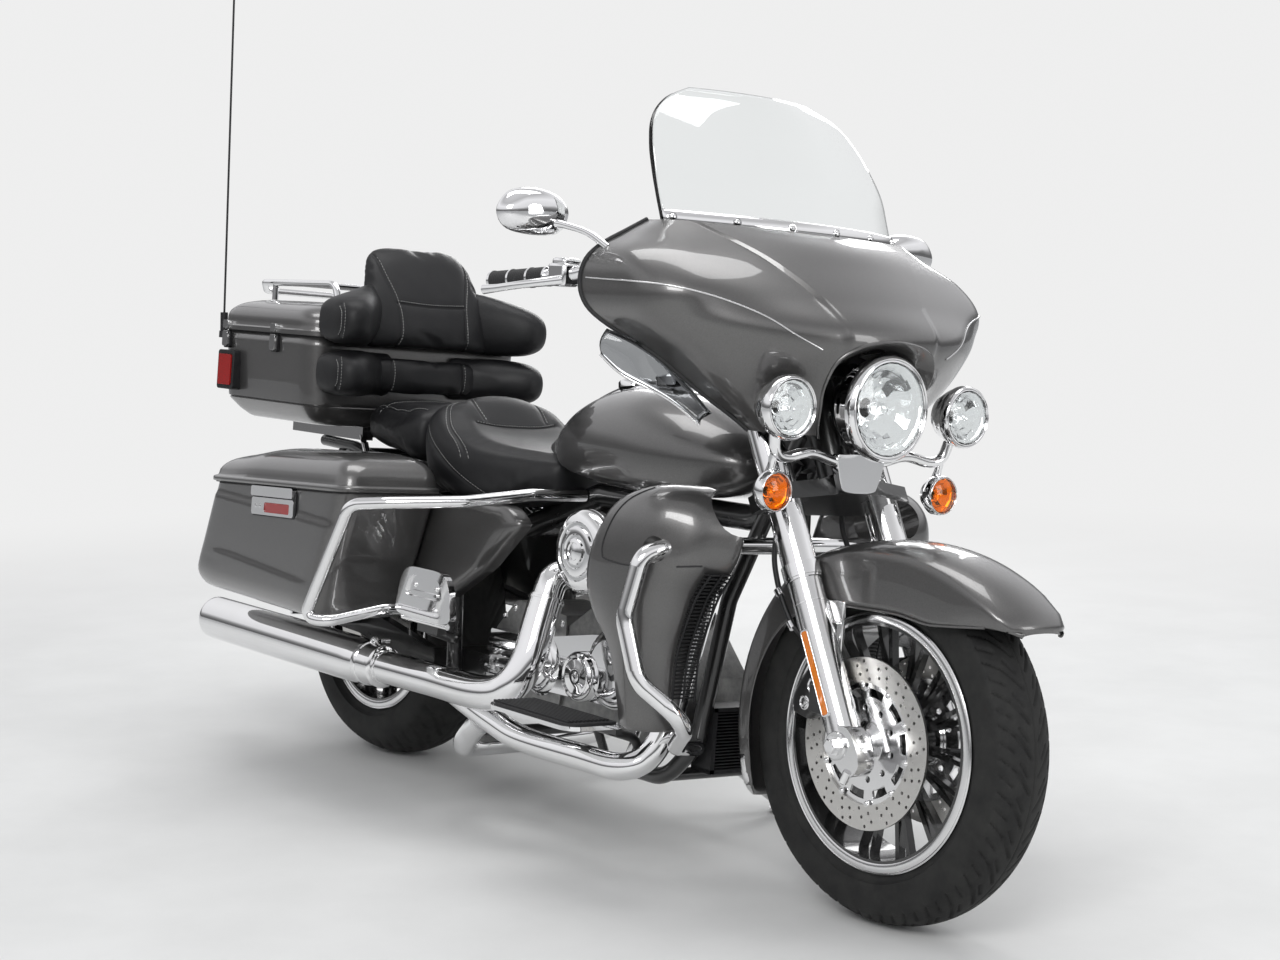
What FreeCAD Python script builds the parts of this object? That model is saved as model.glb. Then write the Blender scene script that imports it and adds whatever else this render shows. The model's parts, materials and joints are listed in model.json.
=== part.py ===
import FreeCAD, Part
import Sketcher
import math
import os

# Touring cruiser motorcycle, leaning on its side stand.
# It is modelled upright: X forward from the rear axle, Y to the rider's left, Z up from the floor.
# Each finished sub-part then gets one Placement that leans it to its parked angle.
# Lengths are millimetres and angles degrees.

Vector = FreeCAD.Vector
doc = FreeCAD.newDocument("TouringCruiser")

# Driving sizes: name, value
SIZES = (
    ("lean_angle", 6.0),
    ("wheel_base", 1613.0),
    ("tyre_radius", 320.0),
    ("front_tyre_half", 65.0),
    ("rear_tyre_half", 90.0),
    ("front_bead_radius", 218.0),
    ("rear_bead_radius", 208.0),
    ("front_flange_half", 50.0),
    ("rear_flange_half", 70.0),
    ("flange_lip", 9.0),
    ("hub_radius", 42.0),
    ("hub_half", 62.0),
    ("spoke_pairs", 14),
    ("spoke_width", 9.0),
    ("spoke_depth", 16.0),
    ("spoke_splay", 9.0),
    ("axle_radius", 12.5),
    ("disc_radius", 150.0),
    ("disc_thick", 5.0),
    ("disc_inner", 92.0),
    ("disc_face", 75.0),
    ("pulley_radius", 118.0),
    ("belt_width", 28.0),
    ("belt_offset", 113.0),
    ("front_pulley_radius", 62.0),
    ("rake", 26.0),
    ("stem_lead", 14.0),
    ("stem_top", 928.0),
    ("stem_foot", 765.0),
    ("neck_radius", 34.0),
    ("leg_rake", 28.0),
    ("leg_spacing", 120.0),
    ("leg_top", 960.0),
    ("cover_foot", 590.0),
    ("cover_radius", 32.0),
    ("slider_radius", 31.0),
    ("frame_tube", 16.0),
    ("backbone_tube", 25.0),
    ("guard_tube", 15.9),
    ("bag_guard_tube", 12.7),
    ("bar_tube", 12.7),
    ("grip_radius", 18.0),
    ("crank_x", 925.0),
    ("crank_z", 345.0),
    ("bank_angle", 22.5),
    ("cylinder_radius", 64.0),
    ("fin_reach", 76.0),
    ("fin_pitch", 11.0),
    ("fin_thick", 4.0),
    ("fin_count", 10),
    ("muffler_radius", 50.0),
    ("header_radius", 33.0),
    ("pipe_side", 280.0),
    ("pipe_height", 262.0),
    ("bag_inner", 190.0),
    ("bag_outer", 430.0),
    ("bag_wall", 5.0),
    ("case_half", 285.0),
    ("case_wall", 5.0),
    ("case_rear", -450.0),
    ("case_front", -18.0),
    ("case_bottom", 748.0),
    ("case_seam", 945.0),
    ("case_top", 1024.0),
    ("seam_gap", 1.0),
    ("hinge_pin", 3.0),
    ("hinge_barrel", 6.0),
    ("hinge_ear", 38.0),
    ("hinge_length", 76.0),
    ("bag_hinge_rise", 27.5),
    ("bag_hinge_side", 202.0),
    ("lens_radius", 83.0),
    ("headlight_radius", 96.0),
    ("headlight_x", 1535.0),
    ("headlight_z", 898.0),
    ("aux_radius", 57.5),
    ("aux_x", 1516.0),
    ("aux_y", 217.0),
    ("aux_z", 891.0),
    ("signal_radius", 37.0),
    ("signal_x", 1478.0),
    ("signal_y", 207.0),
    ("signal_z", 743.0),
    ("moving_gap", 5.0),
    ("pin_gap", 0.3),
)


class Size:
    """A value from the sheet: its number now, and the expression that binds it."""

    def __init__(self, number, text):
        self.number = float(number)
        self.text = text

    def __float__(self):
        return self.number

    def __neg__(self):
        return Size(-self.number, "-(" + self.text + ")")

    def __add__(self, other):
        other = sized(other)
        return Size(self.number + other.number, "(" + self.text + " + " + other.text + ")")

    def __sub__(self, other):
        return self + (-sized(other))

    def __mul__(self, other):
        other = sized(other)
        return Size(self.number * other.number, self.text + " * " + other.text)

    def __truediv__(self, other):
        other = sized(other)
        return Size(self.number / other.number, self.text + " / " + other.text)

    __radd__ = __add__
    __rmul__ = __mul__

    def __rsub__(self, other):
        return sized(other) - self


def sized(value):
    """Any number as a Size."""
    if isinstance(value, Size):
        return value
    return Size(value, "(" + repr(float(value)) + ")")


sheet = doc.addObject("Spreadsheet::Sheet", "Sizes")
sizes = {}
for row, (alias, value) in enumerate(SIZES, 1):
    sheet.set("A%d" % row, alias)
    sheet.set("B%d" % row, str(value))
    sheet.setAlias("B%d" % row, alias)
    sizes[alias] = Size(value, "Sizes." + alias)
doc.recompute()


class Names:
    """The sheet's sizes, read as attributes."""

    def __getattr__(self, alias):
        return sizes[alias]


s = Names()


def bind(thing, **values):
    """Bind properties, with _ for the dot in a path, to values or expressions."""
    for path, value in values.items():
        thing.setExpression(path.replace("_", "."), sized(value).text)


def point(x, y, z):
    return Vector(float(x), float(y), float(z))


# Sketched bodies

PLANES = {"side": "XZ_Plane", "plan": "XY_Plane", "front": "YZ_Plane"}


def sketch_outline(body, view, outline, offset):
    """A closed sketch whose every point is bound; a third item marks a point on an arc."""
    sketch = body.newObject("Sketcher::SketchObject", body.Name + "Outline")
    plane = [item for item in body.Origin.OriginFeatures if item.Role == PLANES[view]][0]
    sketch.AttachmentSupport = [(plane, "")]
    sketch.MapMode = "FlatFace"
    sketch.setExpression("AttachmentOffset.Base.z", sized(offset).text)
    corners = [item for item in outline if len(item) == 2]
    flat = [Vector(float(item[0]), float(item[1]), 0) for item in outline]
    edges = []
    place = 0
    count = len(outline)
    while place < count:
        following = (place + 1) % count
        if len(outline[following]) == 3:
            after = (place + 2) % count
            ends = (flat[place], flat[after])
            turning = (flat[following] - ends[0]).cross(ends[1] - flat[following]).z
            clockwise = turning < 0
            if clockwise:
                ends = ends[::-1]
            edge = sketch.addGeometry(Part.Arc(ends[0], flat[following], ends[1]), False)
            middle = sketch.addGeometry(Part.Point(flat[following]), True)
            fix_point(sketch, middle, 1, outline[following])
            sketch.addConstraint(Sketcher.Constraint("PointOnObject", middle, 1, edge))
            edges.append((edge, 2, 1) if clockwise else (edge, 1, 2))
            place += 2
        else:
            edge = sketch.addGeometry(Part.LineSegment(flat[place], flat[following]), False)
            edges.append((edge, 1, 2))
            place += 1
    for (edge, start, end), (after, first, last) in zip(edges, edges[1:] + edges[:1]):
        sketch.addConstraint(Sketcher.Constraint("Coincident", edge, end, after, first))
    for (edge, start, end), corner in zip(edges, corners):
        fix_point(sketch, edge, start, corner)
    return sketch


def fix_point(sketch, geometry, end, place):
    """Hold one point of a sketch at a bound place."""
    for kind, value in (("DistanceX", place[0]), ("DistanceY", place[1])):
        value = sized(value)
        rule = sketch.addConstraint(Sketcher.Constraint(kind, -1, 1, geometry, end, value.number))
        sketch.setExpression("Constraints[%d]" % rule, value.text)


def padded(name, view, outline, low, high, rounds=()):
    """A padded outline from low to high across its view; rounds are (corner numbers, radius)."""
    body = doc.addObject("PartDesign::Body", name)
    start = -sized(high) if view == "side" else low
    sketch = sketch_outline(body, view, outline, start)
    pad = body.newObject("PartDesign::Pad", name + "Pad")
    pad.Profile = sketch
    bind(pad, Length=sized(high) - low)
    sketch.Visibility = False
    last = pad
    if rounds:
        doc.recompute()
        for numbers, radius in rounds:
            wanted = [Vector(float(outline[n][0]), float(outline[n][1]), 0) for n in numbers]
            names = [
                "Edge%d" % place for place, edge in enumerate(last.Shape.Edges, 1)
                if runs_across(edge, view, wanted)
            ]
            last = body.newObject("PartDesign::Fillet", name + "Round")
            last.Base = (body.Group[-2], names)
            bind(last, Radius=radius)
            doc.recompute()
    return body


def runs_across(edge, view, wanted):
    """Whether an edge of a pad is straight across its view, at one of the wanted corners."""
    if not isinstance(edge.Curve, Part.Line):
        return False
    one, two = [flattened(vertex.Point, view) for vertex in edge.Vertexes]
    return (one - two).Length < 0.01 and any((one - place).Length < 0.01 for place in wanted)


def flattened(place, view):
    return {
        "side": Vector(place.x, place.z, 0),
        "plan": Vector(place.x, place.y, 0),
        "front": Vector(place.y, place.z, 0),
    }[view]


def turned(name, profile, centre, direction):
    """A profile of (along, radius) points turned about an axis through centre."""
    body = doc.addObject("PartDesign::Body", name)
    sketch = sketch_outline(body, "plan", profile, 0)
    turn = body.newObject("PartDesign::Revolution", name + "Turn")
    turn.Profile = sketch
    turn.ReferenceAxis = (sketch, ["H_Axis"])
    turn.Angle = 360
    sketch.Visibility = False
    body.Placement = FreeCAD.Placement(point(*centre), FreeCAD.Rotation(Vector(1, 0, 0), direction))
    for axis, value in zip("xyz", centre):
        body.setExpression("Placement.Base." + axis, sized(value).text)
    return body


# Plain solids

def block(name, x, y, z):
    """A box between pairs of limits."""
    box = doc.addObject("Part::Box", name)
    bind(box, Length=sized(x[1]) - x[0], Width=sized(y[1]) - y[0], Height=sized(z[1]) - z[0])
    for axis, limits in zip("xyz", (x, y, z)):
        box.setExpression("Placement.Base." + axis, sized(limits[0]).text)
    return box


def rod(name, start, end, radius):
    """A round bar between two points."""
    first = point(*start)
    run = point(*end) - first
    bar = doc.addObject("Part::Cylinder", name)
    bar.Height = run.Length
    bind(bar, Radius=radius)
    bar.Placement = FreeCAD.Placement(first, FreeCAD.Rotation(Vector(0, 0, 1), run))
    return bar


def shaped(name, shape):
    """A solid whose shape is worked out with Part's own functions."""
    feature = doc.addObject("Part::Feature", name)
    feature.Shape = shape
    return feature


def route(points, bend):
    """Straight runs joined by tangent arcs, tighter where a run is short."""
    stops = [point(*place) for place in points]
    edges = []
    start = stops[0]
    for before, corner, after in zip(stops, stops[1:], stops[2:]):
        inward = (before - corner).normalize()
        outward = (after - corner).normalize()
        half_turn = (math.pi - inward.getAngle(outward)) / 2
        limit = 0.45 * min((before - corner).Length, (after - corner).Length)
        reach = min(float(bend) * math.tan(half_turn), limit)
        radius = reach / math.tan(half_turn)
        sag = radius / math.cos(half_turn) - radius
        first = corner + inward * reach
        last = corner + outward * reach
        middle = corner + (inward + outward).normalize() * sag
        edges.append(Part.LineSegment(start, first).toShape())
        edges.append(Part.Arc(first, middle, last).toShape())
        start = last
    edges.append(Part.LineSegment(start, stops[-1]).toShape())
    return Part.Wire(edges)


def tube(name, points, radius, bend=60):
    """A round tube along a route."""
    path = route(points, bend)
    run = point(*points[1]) - point(*points[0])
    ring = Part.Wire(Part.makeCircle(float(radius), point(*points[0]), run))
    return shaped(name, path.makePipeShell([ring], True, False))


def ring_section(places, radii):
    """A closed wire through corner places, each corner an arc of its radius."""
    edges = []
    count = len(places)
    joints = []
    for number in range(count):
        before, corner, after = places[number - 1], places[number], places[(number + 1) % count]
        inward = (before - corner).normalize()
        outward = (after - corner).normalize()
        half_turn = (math.pi - inward.getAngle(outward)) / 2
        reach = radii[number] * math.tan(half_turn)
        sag = radii[number] / math.cos(half_turn) - radii[number]
        first = corner + inward * reach
        last = corner + outward * reach
        middle = corner + (inward + outward).normalize() * sag
        joints.append((first, middle, last))
    for number, (first, middle, last) in enumerate(joints):
        edges.append(Part.Arc(first, middle, last).toShape())
        edges.append(Part.LineSegment(last, joints[(number + 1) % count][0]).toShape())
    return Part.Wire(edges)


def rounded_box_loft(sections, ruled=True):
    """A loft through level sections: z, x low, x high, y low, y high, corner radius."""
    wires = []
    for z, x_low, x_high, y_low, y_high, radius in sections:
        corners = [
            point(x_low, y_low, z), point(x_high, y_low, z),
            point(x_high, y_high, z), point(x_low, y_high, z),
        ]
        wires.append(ring_section(corners, [float(radius)] * 4))
    return Part.makeLoft(wires, True, ruled)


def mirrored(name, thing):
    """The same solid on the other side of the machine."""
    copy = doc.addObject("Part::Mirroring", name)
    copy.Source = thing
    copy.Base = Vector(0, 0, 0)
    copy.Normal = Vector(0, 1, 0)
    return copy


def grouped(name, pieces):
    """Solids that lie apart, kept together."""
    group = doc.addObject("Part::Compound", name)
    group.Links = list(pieces)
    return group


def fused(name, pieces):
    """Solids joined into one."""
    joined = doc.addObject("Part::MultiFuse", name)
    joined.Shapes = list(pieces)
    return joined


def fused_in_turn(name, pieces):
    """Solids joined one after another, which suits tubes that meet at shallow angles."""
    joined = pieces[0]
    for number, piece in enumerate(pieces[1:], 1):
        step = doc.addObject("Part::Fuse", "%s%d" % (name, number))
        step.Base = joined
        step.Tool = piece
        joined = step
    return joined


def cut(name, base, tools):
    """A solid less some others."""
    rest = doc.addObject("Part::Cut", name)
    rest.Base = base
    rest.Tool = tools[0] if len(tools) == 1 else grouped(name + "Tools", tools)
    return rest


def common(name, one, two):
    """What two solids share."""
    both = doc.addObject("Part::MultiCommon", name)
    both.Shapes = [one, two]
    return both


nodes = []


def node(label, thing):
    """Keep a finished sub-part under its file's name."""
    if thing.TypeId in ("Part::Box", "Part::Cylinder", "PartDesign::Body"):
        thing = grouped(label + "_part", [thing])
    thing.Label = label
    nodes.append(thing)
    return thing


ABOUT_Y = Vector(0, 1, 0)
ABOUT_X = Vector(1, 0, 0)

# Wheels

def tyre(name, centre_x, half, bead):
    """A tyre section turned about the axle: crown arc, sidewall arcs and a bead."""
    outer = s.tyre_radius
    shoulder = outer - half * 0.36
    profile = [
        (-half * 0.62, bead),
        (-half, (bead + shoulder) / 2, "via"),
        (-half * 0.93, shoulder),
        (0, outer, "via"),
        (half * 0.93, shoulder),
        (half, (bead + shoulder) / 2, "via"),
        (half * 0.62, bead),
    ]
    return turned(name, profile, (centre_x, 0, s.tyre_radius), ABOUT_Y)


def wheel_rim(name, centre_x, bead, flange_half):
    """A cast rim with paired spokes and a hub, in one solid."""
    lip = flange_half + 5
    well = bead - 18
    barrel = turned(name + "Barrel", [
        (-lip, bead - 14),
        (lip, bead - 14),
        (lip, bead + s.flange_lip),
        (flange_half - 2, bead + s.flange_lip),
        (flange_half - 2, bead - 3),
        (flange_half * 0.4, well + 10),
        (-flange_half * 0.4, well + 10),
        (-flange_half + 2, bead - 3),
        (-flange_half + 2, bead + s.flange_lip),
        (-lip, bead + s.flange_lip),
    ], (centre_x, 0, s.tyre_radius), ABOUT_Y)
    hub = turned(name + "Hub", [
        (-s.hub_half, s.axle_radius),
        (s.hub_half, s.axle_radius),
        (s.hub_half, s.hub_radius - 8),
        (20, s.hub_radius),
        (-20, s.hub_radius),
        (-s.hub_half, s.hub_radius - 8),
    ], (centre_x, 0, s.tyre_radius), ABOUT_Y)
    inner = float(s.hub_radius) - 8
    reach = float(bead) - 12 - inner
    bars = []
    centre = point(centre_x, 0, s.tyre_radius)
    for number in range(int(float(s.spoke_pairs))):
        for lean in (-1, 1):
            turn = 360.0 * (number + 0.5) / float(s.spoke_pairs)
            bar = Part.makeBox(
                float(s.spoke_width), float(s.spoke_depth), reach,
                Vector(-float(s.spoke_width) / 2, -float(s.spoke_depth) / 2, inner))
            bar.rotate(Vector(0, 0, inner), ABOUT_Y, lean * float(s.spoke_splay))
            bar.rotate(Vector(), ABOUT_Y, turn - lean * 3.5)
            bar.translate(centre)
            bars.append(bar)
    spokes = shaped(name + "Spokes", bars[0].multiFuse(bars[1:]))
    return fused(name, [barrel, hub, spokes])


front_tyre_body = tyre("FrontTyre", s.wheel_base, s.front_tyre_half, s.front_bead_radius)
rear_tyre_body = tyre("RearTyre", 0, s.rear_tyre_half, s.rear_bead_radius)
front_rim_solid = wheel_rim("FrontRim", s.wheel_base, s.front_bead_radius, s.front_flange_half)
rear_rim_solid = wheel_rim("RearRim", 0, s.rear_bead_radius, s.rear_flange_half)
node("front_tyre", cut("FrontTyreSeated", front_tyre_body, [front_rim_solid]))
node("rear_tyre", cut("RearTyreSeated", rear_tyre_body, [rear_rim_solid]))
node("front_rim", front_rim_solid)
node("rear_rim", rear_rim_solid)


def disc_with_carrier(name, centre_x, side):
    """A brake disc and the carrier that bolts it to the hub's end."""
    face = s.disc_face
    ring = [
        (face, s.disc_inner),
        (face, s.disc_radius),
        (face + s.disc_thick, s.disc_radius),
        (face + s.disc_thick, s.disc_inner - 12),
        (face - 4, s.disc_inner - 12),
        (s.hub_half + 4, s.axle_radius + 14),
        (s.hub_half, s.axle_radius + 14),
        (s.hub_half, s.hub_radius + 10),
        (face - 8, s.disc_inner - 6),
    ]
    if side < 0:
        ring = [(-along, radius) for along, radius in ring][::-1]
    return turned(name, ring, (centre_x, 0, s.tyre_radius), ABOUT_Y)


node("front_discs", grouped("FrontDiscs", [
    disc_with_carrier("FrontDiscRight", s.wheel_base, -1),
    disc_with_carrier("FrontDiscLeft", s.wheel_base, 1),
]))
belt_low = s.belt_offset - s.belt_width / 2
belt_high = s.belt_offset + s.belt_width / 2
pulley = turned("BeltPulley", [
    (s.hub_half, s.axle_radius + 12),
    (s.hub_half, s.hub_radius + 12),
    (belt_low, s.pulley_radius - 20),
    (belt_low, s.pulley_radius),
    (belt_high, s.pulley_radius),
    (belt_high, s.pulley_radius - 14),
    (belt_low + 8, s.pulley_radius - 20),
    (s.hub_half + 12, s.hub_radius + 4),
    (s.hub_half + 12, s.axle_radius + 12),
], (0, 0, s.tyre_radius), ABOUT_Y)
node("rear_disc_and_pulley", grouped("RearDiscAndPulley", [
    disc_with_carrier("RearDisc", 0, -1), pulley,
]))

# Steering axis and fork

RAKE = math.radians(float(s.rake))
LEG_RAKE = math.radians(float(s.leg_rake))


def stem_x(z):
    """Where the steering axis passes at a height."""
    return s.wheel_base + s.stem_lead - (sized(z) - s.tyre_radius) * math.tan(RAKE)


def leg_x(z):
    """Where a fork leg's line passes at a height."""
    return s.wheel_base - (sized(z) - s.tyre_radius) * math.tan(LEG_RAKE)


def on_leg(z, y=None, ahead=0):
    """A place on the right fork leg's line, or ahead of it."""
    across = -s.leg_spacing if y is None else y
    return (leg_x(z) + ahead, across, z)


def both_sides(name, right):
    return [right, mirrored(name + "Left", right)]


slider = fused("SliderRight", [
    rod("SliderTube", on_leg(s.cover_foot), on_leg(300), s.slider_radius),
    rod("SliderEnd", (s.wheel_base + 4, -100, s.tyre_radius), (s.wheel_base + 4, -146, s.tyre_radius), 30),
    rod("AxleRight", (s.wheel_base, -160, s.tyre_radius), (s.wheel_base, -1, s.tyre_radius),
        s.axle_radius - 0.3),
])
node("fork_sliders", grouped("ForkSliders", both_sides("Slider", slider)))
cover = fused("ForkCoverRight", [
    rod("CoverTube", on_leg(s.leg_top), on_leg(s.cover_foot), s.cover_radius),
    rod("CoverBead", on_leg(s.cover_foot + 22), on_leg(s.cover_foot), s.cover_radius + 3),
])
cover_pair = grouped("ForkCovers", both_sides("ForkCover", cover))
node("fork_covers", cover_pair)


def clamp(name, z, depth):
    """A fork bridge: a plate round the stem and both legs, square to the legs."""
    plate = padded(name, "plan", [
        (30, -s.leg_spacing - 46),
        (58, -60),
        (66, 0),
        (58, 60),
        (30, s.leg_spacing + 46),
        (-38, s.leg_spacing + 46),
        (-38, -s.leg_spacing - 46),
    ], -depth / 2, depth / 2)
    plate.Placement = FreeCAD.Placement(
        point(leg_x(z), 0, z), FreeCAD.Rotation(ABOUT_Y, -float(s.leg_rake)))
    return plate


stem = rod("SteeringStem", (stem_x(s.stem_foot - 30), 0, s.stem_foot - 30),
           (stem_x(s.stem_top + 36), 0, s.stem_top + 36), 14)
clamps = fused("Clamps", [
    clamp("LowerClamp", s.stem_foot - 40, s.frame_tube * 2),
    clamp("UpperClamp", s.stem_top + 4, s.frame_tube * 1.6),
    stem,
])
cover_bores = both_sides("CoverBore", rod("CoverBoreRight", on_leg(s.leg_top + 20),
                                          on_leg(s.cover_foot - 40), s.cover_radius))
node("triple_clamps", cut("ClampsBored", clamps, cover_bores))

# Frame

BACKBONE = ((1325, 0, 838), (1230, 0, 668.7), (720, 0, 668.7), (470, 0, 575))
CRADLE = (
    (1325, -22, 790), (1285, -34, 725), (1238, -88, 520), (1200, -108, 240), (1140, -128, 168),
    (560, -148, 168), (440, -150, 240), (424, -150, 470), (470, -118, 575),
)
SEAT_RAIL = ((470, -80, 575), (360, -112, 590), (200, -125, 640), (-60, -125, 700), (-200, -125, 705))
rear_fender_radius = 362
cross_x = -60
cross_z = float(s.tyre_radius) + math.sqrt(rear_fender_radius ** 2 - cross_x ** 2) + 11.3
neck = cut("Neck", rod("NeckTube", (stem_x(s.stem_foot), 0, s.stem_foot),
                       (stem_x(s.stem_top), 0, s.stem_top), s.neck_radius),
           [rod("NeckBore", (stem_x(s.stem_foot - 20), 0, s.stem_foot - 20),
                (stem_x(s.stem_top + 20), 0, s.stem_top + 20), 14.3)])
spine = tube("Spine", BACKBONE, s.backbone_tube, 90)
gusset = padded("Gusset", "side", [(1370, 784), (1316, 905), (1222, 690), (1300, 690), (1316, 765)], -18, 18)
cradle = tube("CradleRight", CRADLE, s.frame_tube, 70)
seat_rail = tube("SeatRailRight", SEAT_RAIL, s.frame_tube - 3, 70)
cross_seat = rod("CrossSeat", (470, -140, 575), (470, 140, 575), s.frame_tube + 5)
cross_rear = rod("CrossRear", (cross_x, -136, cross_z), (cross_x, 136, cross_z), s.frame_tube - 5)
cross_low = rod("CrossLow", (640, -146, 168), (640, 146, 168), s.frame_tube - 4)
cross_front = rod("CrossFront", (1125, -120, 170), (1125, 120, 170), s.frame_tube - 4)
passenger_bracket = fused("PassengerBracketRight", [
    tube("PassengerArm", [(434, -152, 330), (520, -215, 345), (550, -290, 368)], 11, 60),
    block("PassengerLug", (515, 590), (-299.4, -278), (362, 384)),
])
rider_brackets = [
    tube("RiderArm%d" % number, [(x, -136, 176), (x, -164, 236), (x, -255, 262)], 9, 30)
    for number, x in enumerate((965, 1085))
]
rider_rail = block("RiderRail", (930, 1150), (-262.7, -250), (258, 279))
STAND_PIVOT = point(880, 187, 172)
STAND_FOOT_XY = (965, 345)
LEAN = math.radians(float(s.lean_angle))
crown_half = 0.93 * float(s.rear_tyre_half)
crown_drop = 0.36 * float(s.rear_tyre_half)
crown_radius = (crown_half ** 2 + crown_drop ** 2) / (2 * crown_drop)
# The leaning machine rolls onto its rear tyre's round crown, and this raises it back to the floor
LIFT = crown_radius * (1 - math.cos(LEAN))
FLOOR_UP = point(0, -math.sin(LEAN), math.cos(LEAN))
stand_foot = point(*STAND_FOOT_XY, (STAND_FOOT_XY[1] * math.sin(LEAN) - LIFT) / math.cos(LEAN))
stand_down = (stand_foot - STAND_PIVOT).normalize()
stand_folded = point(-0.985, 0.15, 0.05).normalize()
stand_axis = stand_down.cross(stand_folded).normalize()
stand_lug = tube("StandLug", [(880, 142, 178), (881, 160, 213), STAND_PIVOT + stand_axis * 28], 9, 20)
bag_brackets = [
    tube("BagBracketRear", [(-120, -122, 692), (-120, -168, 622), (-120, -182, 582)], 8, 40),
    tube("BagBracketFront", [(215, -122, 634), (215, -160, 604), (215, -182, 562)], 8, 40),
]
stand_pin = rod("StandPin", STAND_PIVOT - stand_axis * 15, STAND_PIVOT + stand_axis * 26, 8)
frame_parts = fused_in_turn("FrameTubes", [
    neck, spine, gusset, *both_sides("Cradle", cradle), *both_sides("SeatRail", seat_rail),
    cross_seat, cross_rear, cross_low, cross_front,
    *both_sides("PassengerBracket", passenger_bracket),
    *both_sides("RiderArmA", rider_brackets[0]), *both_sides("RiderArmB", rider_brackets[1]),
    *both_sides("RiderRail", rider_rail), *both_sides("BagBracketA", bag_brackets[0]),
    *both_sides("BagBracketB", bag_brackets[1]), stand_lug, stand_pin,
])
node("frame", frame_parts)

# Engine: V twin with finned cylinders, pushrod tubes and rocker covers

CRANK = (s.crank_x, 0, s.crank_z)
BANKS = (("Front", 1), ("Rear", -1))


def bank_placed(solid, side):
    """Stand a solid that was made along Z from the crank on its bank."""
    solid.Placement = FreeCAD.Placement(
        point(*CRANK), FreeCAD.Rotation(ABOUT_Y, side * float(s.bank_angle)))
    return solid


def finned_cylinder(name, side):
    """A barrel with round fins and a wider finned head."""
    fins = []
    foot = 112
    for number in range(int(float(s.fin_count))):
        z = foot + 8 + number * float(s.fin_pitch)
        reach = s.fin_reach + (6 if number > 7 else 0)
        fin = doc.addObject("Part::Cylinder", name + "Fin")
        bind(fin, Radius=reach, Height=s.fin_thick)
        fin.Placement.Base = Vector(0, 0, z)
        fins.append(fin)
    core = doc.addObject("Part::Cylinder", name + "Core")
    bind(core, Radius=s.cylinder_radius, Height=138)
    core.Placement.Base = Vector(0, 0, foot)
    return bank_placed(fused(name, [core, *fins]), side)


def rocker_cover(name, side):
    """A low two-step cover with rounded corners on the cylinder head."""
    lower = padded(name + "Lower", "plan", [(-62, -104), (62, -104), (62, 66), (-62, 66)],
                   250.2, 272, [((0, 1, 2, 3), 22)])
    upper = padded(name + "Upper", "plan", [(-52, -58), (52, -58), (52, 58), (-52, 58)],
                   272, 300, [((0, 1, 2, 3), 18)])
    return bank_placed(fused(name, [lower, upper]), side)


cylinder_pair = grouped("Cylinders", [finned_cylinder("Cylinder" + n, k) for n, k in BANKS])
node("cylinders", cylinder_pair)
node("rocker_covers", grouped("RockerCovers", [rocker_cover("RockerCover" + n, k) for n, k in BANKS]))
crankcase = fused("CrankcaseParts", [
    padded("CaseMiddle", "side", [
        (720, 205), (1085, 205), (1130, 260), (1120, 350), (1010, 462), (925, 425), (835, 462), (740, 400),
    ], -78, 78),
    padded("Gearbox", "side", [
        (500, 200), (724, 200), (742, 300), (735, 420), (560, 430), (490, 360),
    ], -84, 84, [((0, 4, 5), 24)]),
])
cylinder_seats = [bank_placed(rod("CylinderSeat" + n, (0, 0, 111.7), (0, 0, 300), s.fin_reach + 8), k)
                  for n, k in BANKS]
node("engine_block", cut("EngineBlock", crankcase, cylinder_seats))
cam_cover = fused("CamCover", [
    turned("CamDrum", [(0, 0), (0, 82), (34, 74), (44, 58), (44, 0)], (930, -78.3, 342), Vector(0, -1, 0)),
    turned("GearCover", [(0, 0), (0, 68), (30, 60), (38, 44), (38, 0)], (690, -84.3, 318), Vector(0, -1, 0)),
    padded("CoverBridge", "side", [(690, 262), (930, 268), (930, 408), (690, 370)], -108, -84.3),
])
primary = padded("PrimaryCover", "side", [
    (560, 330), (575, 262), (640, 235, "via"), (705, 262), (880, 275), (945, 262), (1010, 345, "via"),
    (945, 428), (880, 415), (690, 398), (620, 405),
], 84.3, 150)
node("engine_covers", grouped("EngineCovers", [cam_cover, primary]))
pushrods = []
for bank, side in BANKS:
    for number, (foot, head) in enumerate(((20, -30), (48, -58))):
        top = Vector(head * side, 0, 262)
        top = FreeCAD.Rotation(ABOUT_Y, side * float(s.bank_angle)).multVec(top) + point(*CRANK)
        pushrods.append(rod("Pushrod%s%d" % (bank, number),
                            (930 + side * foot, -93, 400), (top.x, -93, top.z), 9))
rocker_pair = doc.getObject("RockerCovers")
node("pushrod_tubes", cut("PushrodTubes", grouped("Pushrods", pushrods), [cam_cover, rocker_pair]))
cleaner = fused("AirCleanerParts", [
    turned("CleanerDrum", [
        (0, 0), (0, 82), (30, 82), (40, 74), (46, 52), (50, 46), (54, 0),
    ], (937, -180, 575), Vector(0, -1, 0)),
    block("CleanerThroat", (892, 958), (-180, -62), (545, 600)),
    block("IntakePipe", (914, 936), (-62, -10), (550, 590)),
])
node("air_cleaner", cut("AirCleaner", cleaner, [cylinder_pair]))

# Exhaust

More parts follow.
